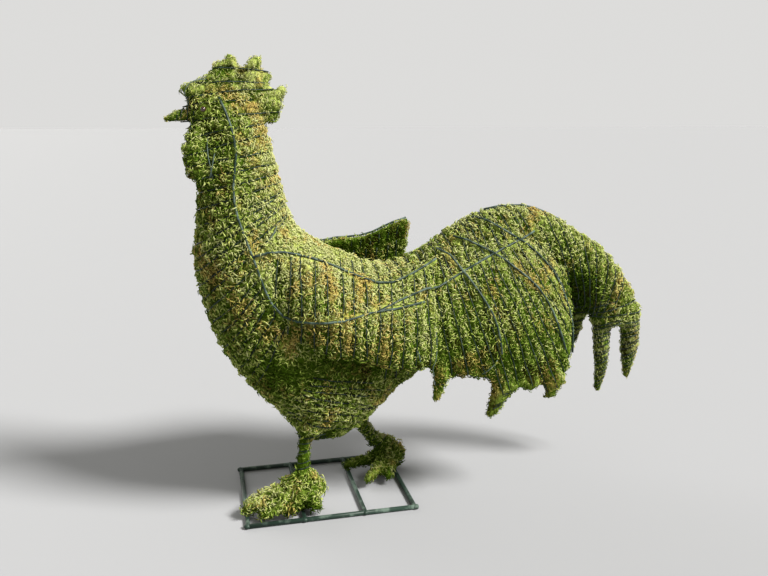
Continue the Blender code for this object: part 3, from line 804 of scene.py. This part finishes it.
@functools.cache
def winding_lines():
    """Every turn of every winding, on the moss solid: its points, whether it closes, its strip."""
    solid = merged_copy("moss_body")
    lines = []
    for name, winding in WINDINGS.items():
        keys = np.array(winding["keys"]) / (1000, 1000, 1)
        for n, (x, z, lean) in enumerate(resampled(keys, 2, winding["pitch"] / 1000, 1)):
            # each turn of each winding slips a little way of its own
            slip = noise.noise(Vector((n * 3.7, len(name) * 1.3, 0.5)))
            slope = math.radians(lean + WIRE_SLIP * slip)
            across = Vector((-math.sin(slope), WIRE_TWIST, math.cos(slope))).normalized()
            sliced = solid.copy()
            cut = bmesh.ops.bisect_plane(
                sliced, geom=sliced.verts[:] + sliced.edges[:] + sliced.faces[:], dist=0.0000001,
                plane_co=spot(x, 0.0, z), plane_no=across)
            edges = [g for g in cut["geom_cut"] if isinstance(g, bmesh.types.BMEdge)]
            for points, closed in chained(edges):
                spaced = even_steps(points, WIRE_STEP, closed)
                wander = np.array([noise.noise(Vector(point) * 28.0 + Vector((0, 0, n)))
                                   for point in spaced])
                spaced = spaced + np.outer((wander + slip) * WIRE_WANDER, across)
                keep = inside_outline(spaced, winding["outline"])
                lines += [(relaxed(run, 4, shut), shut, winding.get("strip", 1.0))
                          for run, shut in kept_runs(spaced, closed, keep)]
            sliced.free()
    solid.free()
    return lines


@functools.cache
def winding_tree():
    """All the winding points in one search tree, with each one's way along and strip."""
    ways = []
    strips = []
    for line, closed, strip in winding_lines():
        along = np.roll(line, -1, axis=0) - np.roll(line, 1, axis=0)
        if not closed:
            along[0] = line[1] - line[0]
            along[-1] = line[-1] - line[-2]
        ways.append(unit(along))
        strips.append(np.full(len(line), strip))
    points = np.vstack([line for line, _, _ in winding_lines()])
    tree = KDTree(len(points))
    for n, point in enumerate(points):
        tree.insert(point, n)
    tree.balance()
    return tree, points, np.vstack(ways), np.concatenate(strips)


@functools.cache
def moss_surface():
    """The surface of the moss solid."""
    return BVHTree.FromBMesh(merged_copy("moss_body"))


@functools.cache
def rod_surface():
    """The surfaces of the rods and eyes that lie on the moss."""
    bm = bmesh.new()
    for name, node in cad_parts.items():
        if name not in ("moss_body", "base_frame"):
            bm.from_mesh(node.data)
    return BVHTree.FromBMesh(bm)


def looked_along(surface, place, way, farthest):
    """How far it is to a surface along a way, and no more than the farthest look."""
    distance = surface.ray_cast(place, way, farthest)[3]
    return farthest if distance is None else distance


def thickness_at(surface, points, normals):
    """How thick the moss is behind each point."""
    found = np.empty(len(points))
    for n, (point, normal) in enumerate(zip(points, normals)):
        way = -Vector(normal)
        found[n] = looked_along(surface, Vector(point) + way * 0.001, way, FARTHEST_BEHIND)
    return found


# ---------------------------------------------------------------- the moss
def even_moss(grid):
    """The moss solid with even faces and its facets smoothed away."""
    obj = linked("even_moss", mesh_from(merged_copy("moss_body"), "even_moss"))
    fuse = obj.modifiers.new("fuse", "REMESH")
    fuse.mode = "VOXEL"
    fuse.voxel_size = grid
    settle = obj.modifiers.new("settle", "SMOOTH")
    settle.factor = 0.5
    settle.iterations = 4
    return evaluated_mesh(obj)


def back_to_solid(points, stout):
    """Thin parts, which smoothing has shrunk, put back onto the moss solid."""
    solid = moss_surface()
    nearest = np.array([solid.find_nearest(Vector(point))[0] for point in points])
    share = (1.0 - 0.8 * stout)[:, None]
    return points + (nearest - points) * share


def tuft_level(place):
    """The small tufts and pits of the moss, from about -1 to 1."""
    return noise.noise(place * 135.0) + 0.35 * noise.noise(place * 300.0)


def sheltered(surface, points, normals):
    """How far other moss closes off the sky over each point, from 0 to 1; the materials paint
    shade with it.
    """
    found = np.zeros(len(points))
    sideways = unit(np.cross(normals, (0.31, 0.87, 0.38)))
    forward = np.cross(normals, sideways)
    for look in range(SHELTER_LOOKS):
        turn = 2 * math.pi * look / SHELTER_LOOKS
        ways = 0.64 * normals + 0.77 * (math.cos(turn) * sideways + math.sin(turn) * forward)
        for n, (point, way) in enumerate(zip(points + 0.003 * normals, ways)):
            clear = looked_along(surface, Vector(point), Vector(way), SHELTER_REACH)
            found[n] += 1.0 - clear / SHELTER_REACH
    return found / SHELTER_LOOKS


def build_mat():
    """The pillowed mat: swollen between its wires, drawn in under them, lumpy all over."""
    sizes = settings("topiary_moss")
    mesh = even_moss(sizes.grid)
    points = read_vectors(mesh.vertices, "co")
    normals = read_vectors(mesh.vertex_normals, "vector")
    surface = surface_of(mesh)
    stout = fade(thickness_at(surface, points, normals), STOUT_FROM, STOUT_TO)
    shelter = sheltered(surface, points, normals)
    points = back_to_solid(points, stout)
    x, y, z = points[:, 0] - MIDDLE.x, points[:, 1], points[:, 2]
    on_tip = fade(z, TIP_TOP, TIP_FULL) * (x > TIP_FRONT) * (x < TIP_BACK)
    loose = 1.0 + FOOT_LOOSE * ((z < FOOT_TOP) & (y < 0.0)) + COMB_LOOSE * (z > COMB_FOOT)
    tree, _, _, strips = winding_tree()
    rods = rod_surface()
    moves = np.zeros(len(points))
    for n, point in enumerate(points):
        place = Vector(point)
        _, wire, from_wire = tree.find(place)
        rod = rods.find_nearest(place, ROD_NEAR)
        from_rod = rod[3] if rod[0] is not None else ROD_NEAR
        drawn = math.exp(-(from_wire / (sizes.groove_width * strips[wire])) ** 2)
        swell = 1.0 - math.exp(-(from_wire / SWELL_REACH) ** 2)
        open_moss = 1.0 - math.exp(-(from_rod / ROD_REACH) ** 2)
        moves[n] = open_moss * (
            sizes.pillow * swell - sizes.groove * drawn - sizes.inset + sizes.plump * on_tip[n]
            + sizes.lump * loose[n] * noise.noise(place * LUMP_SCALE)
            + sizes.tufts * loose[n] * tuft_level(place))
    near_ground = 1.0 - fade(z, ROD_TOP + 0.003, ROD_TOP + 0.012)
    scale = (0.45 + 0.55 * stout) * (1.0 - near_ground)
    normals = read_vectors(mesh.vertex_normals, "vector")
    points += normals * (moves * scale)[:, None]
    points[:, 2] = np.maximum(points[:, 2], ROD_TOP + 0.0003)
    set_points(mesh, points)
    # The mat's marks: its height and how occluded it is paint shade in grooves, pits and hollows;
    # its sun mark paints light where it faces the lamp; its rust is its own browning.
    for name, values in dict(
            height=fade(moves, GROOVE_BOTTOM, LUMP_TOP),
            rust=fade(brown_share(points), 0.10, 0.60), shelter=fade(shelter, 0.05, 0.60),
            stout=stout, sun=paleness_with_painted_light(points, normals)).items():
        add_attribute(mesh, name, values)
    mesh.update()
    mesh.shade_smooth()
    return mesh


def add_attribute(mesh, name, values):
    """A number for each point of a mesh, for its material to read."""
    mesh.attributes.new(name, "FLOAT", "POINT").data.foreach_set(
        "value", values.astype(np.float32))


def fibre_templates():
    """Short closed fibres, one unit long from the root along X, of a few bends.

    Each one starts as a thin three-sided cone.  Leaves have one ring, curls have two.
    """
    leaves = ((1.0, 0.20, 0.091), (-1.0, 0.25, 0.087), (1.8, 0.18, 0.083), (-1.8, 0.25, 0.083),
              (1.4, 0.30, 0.085))
    curls = ((2.8, 0.28, 0.068), (-3.0, 0.32, 0.068), (3.6, 0.38, 0.064))
    found = []
    for turn, arch, radius in leaves + curls:
        curled = (turn, arch, radius) in curls
        belly = 0.30 if curled else 0.42
        middle = Matrix.Translation(((1.0 + belly) / 2, 0, 0))
        bm = bmesh.new()
        bmesh.ops.create_cone(bm, cap_ends=True, segments=3, radius1=radius, radius2=0.0,
                              depth=1.0 - belly,
                              matrix=middle @ Matrix.Rotation(math.pi / 2, 4, "Y"))
        cap = min(bm.faces, key=lambda face: face.calc_center_median().x)
        bmesh.ops.poke(bm, faces=[cap])["verts"][0].co = (0.0, 0.0, 0.0)
        if curled:
            bmesh.ops.bisect_plane(bm, geom=bm.verts[:] + bm.edges[:] + bm.faces[:],
                                   dist=SAME_PLACE, plane_co=(CURL_RING, 0, 0),
                                   plane_no=(1, 0, 0))
            for vert in bm.verts:
                if abs(vert.co.x - CURL_RING) < 0.001:
                    vert.co.yz *= CURL_FULLER
            bmesh.ops.triangulate(bm, faces=bm.faces)
        for vert in bm.verts:
            x, y, z = vert.co
            angle = turn * x
            vert.co = (math.sin(angle) / turn - y * math.sin(angle),
                       (1.0 - math.cos(angle)) / turn + y * math.cos(angle),
                       z + arch * math.sin(math.pi * x))
        bmesh.ops.recalc_face_normals(bm, faces=bm.faces)
        found.append(template_arrays(bm))
    return found


def template_arrays(bm):
    """A fibre's points, triangles, place along its length and flat layout."""
    bmesh.ops.triangulate(bm, faces=bm.faces)
    bm.verts.index_update()
    points = np.array([v.co for v in bm.verts])
    faces = np.array([[v.index for v in f.verts] for f in bm.faces])
    length = np.linalg.norm(points, axis=1)
    along = length / length.max()
    wide = 1.0 / len(faces)
    layout = [(0.08 + 0.84 * along[vert], 0.04 + 0.92 * (n / len(faces) + wide * k / 2))
              for n, face in enumerate(faces) for k, vert in enumerate(face)]
    bm.free()
    return points, faces, along, np.array(layout)


def fibre_roots(mesh, count, rng):
    """Places spread evenly over the mat, the way out of the moss there, and what it holds."""
    points = read_vectors(mesh.vertices, "co")
    mesh.calc_loop_triangles()
    corners = read_vectors(mesh.loop_triangles, "vertices").astype(int)
    a, b, c = (points[corners[:, k]] for k in range(3))
    areas = np.linalg.norm(np.cross(b - a, c - a), axis=1)
    spaced = (np.arange(count) + rng.random(count)) / count
    chosen = np.searchsorted(np.cumsum(areas) / areas.sum(), spaced)
    u = np.sqrt(rng.random(count))[:, None]
    v = rng.random(count)[:, None]
    places = a[chosen] * (1 - u) + b[chosen] * u * (1 - v) + c[chosen] * u * v
    smooth = read_vectors(mesh.vertex_normals, "vector")[corners[chosen]].mean(axis=1)
    held = {}
    for name in ("stout", "shelter"):
        values = read_vectors(mesh.attributes[name].data, "value", 1)[:, 0]
        held[name] = values[corners[chosen]].mean(axis=1)
    return places, unit(smooth), held


@functools.cache
def planted_fibres():
    """Where every fibre is rooted, which way it lies, and its size and colour."""
    sizes = settings("topiary_moss")
    rng = np.random.default_rng(sizes.seed)
    places, normals, held = fibre_roots(bpy.data.objects["moss_mat"].data,
                                        int(sizes.fibres * OVERSOWN), rng)
    count = len(places)
    x, y, z = from_middle(places)
    ways = flattened(rng.normal(size=(count, 3)), normals)
    lift = np.radians(rng.triangular(-4.0, 8.0, 32.0, count))
    length = sizes.fibre_length * rng.triangular(0.6, 0.95, 1.5, count)
    length *= (0.70 + 0.30 * held["stout"]) * (1.0 - 0.35 * held["shelter"])
    girth = rng.triangular(0.8, 1.0, 1.3, count)
    along = np.zeros(count)
    for share, coat in coats(x, y, z).values():
        for values, name in ((length, "length"), (girth, "girth"), (lift, "lift")):
            values *= 1.0 + (coat.get(name, 1.0) - 1.0) * share
        along = np.maximum(along, coat.get("along", 0.0) * share)
    stray = rng.random(count) < STRAYS + FOOT_STRAYS * ((z < FOOT_TOP) & (y < 0.0))
    length[stray] *= 1.2
    lift[stray] = np.radians(rng.uniform(35.0, 60.0, stray.sum()))
    tree, wire_points, wire_ways, strips = winding_tree()
    rods = rod_surface()
    eyes = [sum(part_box(node), Vector()) / 2 for node in ("left_eye", "right_eye")]
    keep = np.ones(count, bool)
    for n in range(count):
        place = Vector(places[n])
        _, index, from_wire = tree.find(place)
        rod = rods.find_nearest(place, ROD_FRINGE)
        eye = min(eyes, key=lambda middle: (middle - place).length)
        from_eye = (eye - place).length
        pit = tuft_level(place) < BARE_BELOW and n % 5
        parting = sizes.parting * strips[index]
        if pit or from_wire < parting or from_eye < EYE_CLEAR:
            keep[n] = False
        elif from_eye < EYE_FRINGE:
            ways[n] = flattened(np.array(place - eye), normals[n])
            length[n] *= 0.5
        elif rod[0] is not None:
            keep[n] = rod[3] > ROD_CLEAR
            if rod[3] < length[n] and n % 2:
                ways[n] = turned_away(ways[n], np.array(rod[0]) - places[n], normals[n])
        elif from_wire < length[n] + parting and n % 6:
            ways[n] = turned_away(ways[n], wire_points[index] - places[n], normals[n])
        if along[n]:
            ways[n] = laid_along(ways[n], wire_ways[index], normals[n], along[n])
    # The sun and occlusion marks carry painted light and painted shade to the fibres' material.
    planted = dict(places=places, normals=normals, ways=ways, lift=lift, length=length,
                   girth=girth, shelter=held["shelter"], sun=paleness_with_painted_light(places, normals),
                   rust=rust_share(places, rng), tint=rng.random(count),
                   shape=rng.integers(0, 8, count))
    return {name: values[keep] for name, values in planted.items()}


def paleness_with_painted_light(places, normals):
    """How pale the moss is: painted light where it faces the lamp, and the paleness of its coat.
    """
    found = fade(normals @ np.array(PAINTED_LIGHT_SIDE), -0.5, 0.9)
    for share, coat in coats(*from_middle(places)).values():
        found += coat.get("pale", 0.0) * share
    return found


def turned_away(way, towards, normal):
    """A fibre's way, mirrored where it would run towards a wire or a rod."""
    towards = flattened(towards, normal)
    return way - 2 * max(way.dot(towards), 0.0) * towards


def laid_along(way, wire_way, normal, share):
    """A fibre's way, brought part of the way to that of its wire."""
    wire_way = flattened(wire_way, normal)
    wire_way *= np.sign(way.dot(wire_way))
    return unit(way * (1.0 - share) + wire_way * share)


def brown_share(places):
    """Where the moss has died back: the named patches, and mottling down the bird's sides."""
    found = np.empty(len(places))
    for n, place in enumerate(places):
        tall = Vector((place[0] * 62.0, place[1] * 62.0, place[2] * 26.0))
        found[n] = noise.noise(tall) + 0.6 * noise.noise(Vector(place) * 16.0) - 0.10
    x, _, z = from_middle(places)
    for patch in BROWN_PATCHES:
        patch_x, patch_z, radius = (size / 1000 for size in patch)
        found += PATCH_STRENGTH * np.exp(
            -((x - patch_x) ** 2 + (PATCH_SQUEEZE * (z - patch_z)) ** 2) / radius ** 2)
    return found


def rust_share(places, rng):
    """How dead and brown each fibre is."""
    return fade(brown_share(places) + rng.normal(0.0, 0.24, len(places)), 0.18, 0.72) * 0.78


def fibre_mesh(name, chosen):
    """Copies of the fibre shapes, one for each planted root, as one mesh."""
    fibres = {key: values[chosen] for key, values in planted_fibres().items()}
    side = int(math.ceil(math.sqrt(chosen.sum())))
    sheets = {key: [] for key in ("points", "faces", "layout", "tip", *FIBRE_MARKS)}
    first = 0
    placed = 0
    for shape, (points, faces, along, layout) in enumerate(fibre_templates()):
        mine = np.flatnonzero(fibres["shape"] == shape)
        if not len(mine):
            continue
        normals, ways = fibres["normals"][mine], fibres["ways"][mine]
        lift, girth, length = (fibres[key][mine][:, None] for key in ("lift", "girth", "length"))
        forward = ways * np.cos(lift) + normals * np.sin(lift)
        up = normals * np.cos(lift) - ways * np.sin(lift)
        left = np.cross(up, forward)
        axes = np.stack([forward, left * girth, up * girth], axis=1) * length[:, None]
        root = fibres["places"][mine] - normals * ROOT_DEPTH
        copies = np.einsum("pk,nkc->npc", points, axes) + root[:, None, :]
        copies[..., 2] = np.maximum(copies[..., 2], LOWEST)
        sheets["points"].append(copies.reshape(-1, 3))
        offsets = first + np.arange(len(mine)) * len(points)
        sheets["faces"].append((faces[None] + offsets[:, None, None]).reshape(-1, 3))
        sheets["tip"].append(np.tile(along, len(mine)))
        for key in FIBRE_MARKS:
            sheets[key].append(np.repeat(fibres[key][mine], len(points)))
        cell = placed + np.arange(len(mine))
        corner = np.stack([cell % side, cell // side], axis=1)
        sheets["layout"].append(((corner[:, None, :] + layout[None]) / side).reshape(-1, 2))
        first += len(mine) * len(points)
        placed += len(mine)
    return mesh_from_sheets(name, {key: np.concatenate(value) for key, value in sheets.items()})


def mesh_from_sheets(name, sheets):
    """One mesh from stacked copies, with its fibre attributes and flat layout."""
    mesh = bpy.data.meshes.new(name)
    faces = sheets["faces"]
    mesh.vertices.add(len(sheets["points"]))
    set_points(mesh, sheets["points"])
    mesh.loops.add(faces.size)
    mesh.loops.foreach_set("vertex_index", faces.astype(np.int32).ravel())
    mesh.polygons.add(len(faces))
    mesh.polygons.foreach_set("loop_start", np.arange(0, faces.size, 3, dtype=np.int32))
    mesh.update(calc_edges=True)
    for key in (*FIBRE_MARKS, "tip"):
        add_attribute(mesh, key, sheets[key])
    flat = mesh.uv_layers.new(name="OFBake")
    flat.data.foreach_set("uv", sheets["layout"].astype(np.float32).ravel())
    mesh.shade_smooth()
    return mesh


# ---------------------------------------------------------------- wires and rods
def tube_mesh(name, lines, diameter, resolution):
    """Round tubes through lines of points, as one closed mesh."""
    curve = bpy.data.curves.new(name, "CURVE")
    curve.dimensions = "3D"
    curve.bevel_depth = diameter / 2
    curve.bevel_resolution = resolution
    curve.use_fill_caps = True
    for points, closed in lines:
        spline = curve.splines.new("POLY")
        spline.points.add(len(points) - 1)
        spline.points.foreach_set("co", np.insert(points, 3, 1.0, axis=1).ravel())
        spline.use_cyclic_u = closed
    bm = bmesh.new()
    bm.from_mesh(evaluated_mesh(linked(name, curve)))
    bmesh.ops.remove_doubles(bm, verts=bm.verts, dist=SAME_PLACE)
    bmesh.ops.recalc_face_normals(bm, faces=bm.faces)
    return mesh_from(bm, name)


def laid_in_grooves():
    """The winding lines, let down into the mat's grooves."""
    surface = surface_of(bpy.data.objects["moss_mat"].data)
    sink = settings("topiary_moss").wire_sink
    laid = []
    for line, closed, strip in winding_lines():
        knots = line[::WIRE_POINT_EVERY]
        if len(knots) > 2:
            down = sink + NARROW_SINK * (1.0 - strip)
            lowered = [Vector(knot) - surface.find_nearest(Vector(knot))[1] * down
                       for knot in knots]
            laid.append((relaxed(np.array(lowered), 1, closed), closed))
    return laid


def tucked_wire(knots):
    """A short wire that lies on the moss, proud in the middle and with both ends inside."""
    sizes = settings("topiary_wires")
    solid = moss_surface()
    line = relaxed(even_steps(np.array(knots), BARE_WIRE_STEP, False), 2, False)
    for n, point in enumerate(line):
        nearest, normal, _, _ = solid.find_nearest(Vector(point))
        proud = sizes.proud * math.sin(math.pi * n / (len(line) - 1)) ** 0.5 - sizes.tuck
        line[n] = nearest + normal * proud
    return relaxed(line, 1, False)


def rounded_copy(node, name):
    """A CAD node's surface, merged and shaded round."""
    mesh = mesh_from(merged_copy(node), name)
    mesh.set_sharp_from_angle(angle=math.radians(50))
    return mesh


def bedded_rod(node, name):
    """A rod that lies on the moss, a little slimmer and pressed in."""
    sizes = settings("topiary_wires")
    moss = moss_surface()
    mesh = rounded_copy(node, name)
    points = read_vectors(mesh.vertices, "co")
    points -= read_vectors(mesh.vertex_normals, "vector") * sizes.slimmer
    for n, point in enumerate(points):
        points[n] -= np.array(moss.find_nearest(Vector(point))[1]) * sizes.bedding
    set_points(mesh, points)
    mesh.update()
    return mesh


def weld_beads(radius):
    """A flattened bead at every joint of the ground frame."""
    low, high = GROUND_FRAME
    inset = ROD_TOP / 2
    bm = bmesh.new()
    for x in (low.x + inset, high.x - inset, MIDDLE.x + CROSSBARS[0], MIDDLE.x + CROSSBARS[1]):
        for y in (low.y + inset, high.y - inset):
            place = Matrix.Translation((x, y, 0.54 * ROD_TOP))
            bmesh.ops.create_icosphere(bm, subdivisions=3, radius=radius,
                                       matrix=place @ Matrix.Diagonal((1.0, 1.0, 0.72, 1.0)))
    return mesh_from(bm, "weld_beads")


# ---------------------------------------------------------------- operators
class TOPIARY_OT_mat(bpy.types.Operator):
    """Dense moss, pillowed between the windings"""

    bl_idname = "topiary.mat"
    bl_label = "Moss Mat"

    def execute(self, context):
        add_piece("moss_mat", build_mat(), mat_finish(settings("topiary_colours")), "moss",
                  "moss_body")
        return {"FINISHED"}


class TOPIARY_OT_fibres(bpy.types.Operator):
    """Loose fibres that cover the mat"""

    bl_idname = "topiary.fibres"
    bl_label = "Moss Fibres"

    def execute(self, context):
        material = fibre_finish(settings("topiary_colours"))
        places = planted_fibres()["places"]
        free = np.ones(len(places), bool)
        for name, belongs in patches(*from_middle(places)).items():
            add_piece(name, fibre_mesh(name, free & belongs), material, "moss")
            free &= ~belongs
        return {"FINISHED"}


class TOPIARY_OT_windings(bpy.types.Operator):
    """Thin coated wire wound round the moss"""

    bl_idname = "topiary.windings"
    bl_label = "Windings"

    def execute(self, context):
        diameter = settings("topiary_wires").winding
        mesh = tube_mesh("winding_wire", laid_in_grooves(), diameter, 1)
        add_piece("winding_wire", mesh, wire_finish(settings("topiary_metal")), "painted_rod")
        return {"FINISHED"}


class TOPIARY_OT_bare_wires(bpy.types.Operator):
    """Stray outline wires on the wattles, shoulders and skirts"""

    bl_idname = "topiary.bare_wires"
    bl_label = "Bare Wires"

    def execute(self, context):
        lines = [(tucked_wire([spot(x / 1000, side * y / 1000, z / 1000) for x, y, z in route]),
                  False) for route in BARE_WIRES.values() for side in (-1, 1)]
        mesh = tube_mesh("bare_wires", lines, settings("topiary_wires").bare, 2)
        add_piece("bare_wires", mesh,
                  rod_finish(settings("topiary_metal"), "bare_wire", 0.32), "painted_rod")
        return {"FINISHED"}


class TOPIARY_OT_rods(bpy.types.Operator):
    """Painted frame rods that lie on the moss"""

    bl_idname = "topiary.rods"
    bl_label = "Frame Rods"

    def execute(self, context):
        material = rod_finish(settings("topiary_metal"), "surface_rod", 0.06)
        for node in ("left_frame_rods", "right_frame_rods", "right_skirt_rod", "ridge_rod"):
            add_piece("painted_" + node, bedded_rod(node, node), material, "painted_rod", node)
        return {"FINISHED"}


class TOPIARY_OT_ground_frame(bpy.types.Operator):
    """The welded rectangle that the bird stands on, with a bead at each weld"""

    bl_idname = "topiary.ground_frame"
    bl_label = "Ground Frame"

    def execute(self, context):
        material = rod_finish(settings("topiary_metal"), "ground_rod", 0.02)
        add_piece("ground_frame", rounded_copy("base_frame", "ground_frame"), material,
                  "painted_rod", "base_frame")
        add_piece("weld_beads", weld_beads(settings("topiary_wires").bead), material,
                  "painted_rod")
        return {"FINISHED"}


class TOPIARY_OT_eyes(bpy.types.Operator):
    """Polished beads, set into the moss"""

    bl_idname = "topiary.eyes"
    bl_label = "Eyes"

    def execute(self, context):
        material = eye_finish(settings("topiary_metal"))
        for node in ("left_eye", "right_eye"):
            low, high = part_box(node)
            bm = bmesh.new()
            bmesh.ops.create_icosphere(bm, subdivisions=4, radius=(high.z - low.z) / 2,
                                       matrix=Matrix.Translation((low + high) / 2))
            add_piece(node + "_bead", mesh_from(bm, node), material, "eye_bead", node)
        return {"FINISHED"}


def add_lamp(name, strength, way, width):
    """A broad lamp, far off, that shines from the given way."""
    lamp = bpy.data.lights.new(name, "SUN")
    lamp.energy = strength
    lamp.angle = width
    lamp.color = LAMP_COLOUR
    linked(name, lamp).rotation_euler = Vector(way).to_track_quat("Z", "Y").to_euler()


class TOPIARY_OT_studio(bpy.types.Operator):
    """Pale floor, soft lights and the camera"""

    bl_idname = "topiary.studio"
    bl_label = "Studio"

    def execute(self, context):
        studio = settings("topiary_studio")
        bm = bmesh.new()
        bmesh.ops.create_grid(bm, x_segments=2, y_segments=2, size=FLOOR_SIZE)
        floor = linked("floor", mesh_from(bm, "floor"))
        floor.data.materials.append(floor_finish(studio))
        add_lamp("key_light", studio.key, studio.key_from, studio.key_width)
        add_lamp("fill_light", studio.fill, studio.fill_from, 3 * studio.key_width)
        world = bpy.data.worlds.new("studio_room")
        world.use_nodes = True
        tree = world.node_tree
        room = tree.nodes["Background"]
        room.inputs["Color"].default_value = (*ROOM_COLOUR, 1.0)
        room.inputs["Strength"].default_value = studio.sky
        backdrop = tree.nodes.new("ShaderNodeBackground")
        backdrop.inputs["Color"].default_value = (*studio.backdrop, 1.0)
        seen = tree.nodes.new("ShaderNodeLightPath")
        choice = tree.nodes.new("ShaderNodeMixShader")
        tree.links.new(seen.outputs["Is Camera Ray"], choice.inputs[0])
        tree.links.new(room.outputs[0], choice.inputs[1])
        tree.links.new(backdrop.outputs[0], choice.inputs[2])
        tree.links.new(choice.outputs[0], tree.nodes["World Output"].inputs["Surface"])
        context.scene.world = world
        camera = linked("camera", bpy.data.cameras.new("camera"))
        camera.data.lens = studio.lens
        camera.location = spot(*studio.camera_place)
        camera.rotation_euler = (math.pi / 2 - studio.camera_down, 0.0, -studio.camera_turn)
        context.scene.camera = camera
        context.scene.view_settings.view_transform = "Standard"
        return {"FINISHED"}


OPERATORS = (
    TOPIARY_OT_studio,
    TOPIARY_OT_mat,
    TOPIARY_OT_windings,
    TOPIARY_OT_fibres,
    TOPIARY_OT_bare_wires,
    TOPIARY_OT_rods,
    TOPIARY_OT_ground_frame,
    TOPIARY_OT_eyes,
)


class TOPIARY_PT_sidebar(bpy.types.Panel):
    """The steps that dress the topiary, and their sizes"""

    bl_idname = "TOPIARY_PT_sidebar"
    bl_label = "Rooster Topiary"
    bl_space_type = "VIEW_3D"
    bl_region_type = "UI"
    bl_category = "Topiary"

    def draw(self, context):
        for step in OPERATORS:
            self.layout.operator(step.bl_idname, text=step.bl_label)
        for name, group in SETTINGS.items():
            box = self.layout.box()
            for prop in group.__annotations__:
                box.prop(getattr(context.scene, name), prop)


def register():
    """Add the sizes, the steps and the panel."""
    for group in SETTINGS.values():
        bpy.utils.register_class(group)
    for name, group in SETTINGS.items():
        setattr(bpy.types.Scene, name, PointerProperty(type=group))
    for step in OPERATORS:
        bpy.utils.register_class(step)
    bpy.utils.register_class(TOPIARY_PT_sidebar)


def unregister():
    """Take them away again."""
    bpy.utils.unregister_class(TOPIARY_PT_sidebar)
    for step in reversed(OPERATORS):
        bpy.utils.unregister_class(step)
    for name, group in SETTINGS.items():
        delattr(bpy.types.Scene, name)
        bpy.utils.unregister_class(group)


def main():
    """Dress the bird, step by step."""
    register()
    for step in OPERATORS:
        family, name = step.bl_idname.split(".")
        getattr(getattr(bpy.ops, family), name)()


if __name__ == "__main__":
    main()
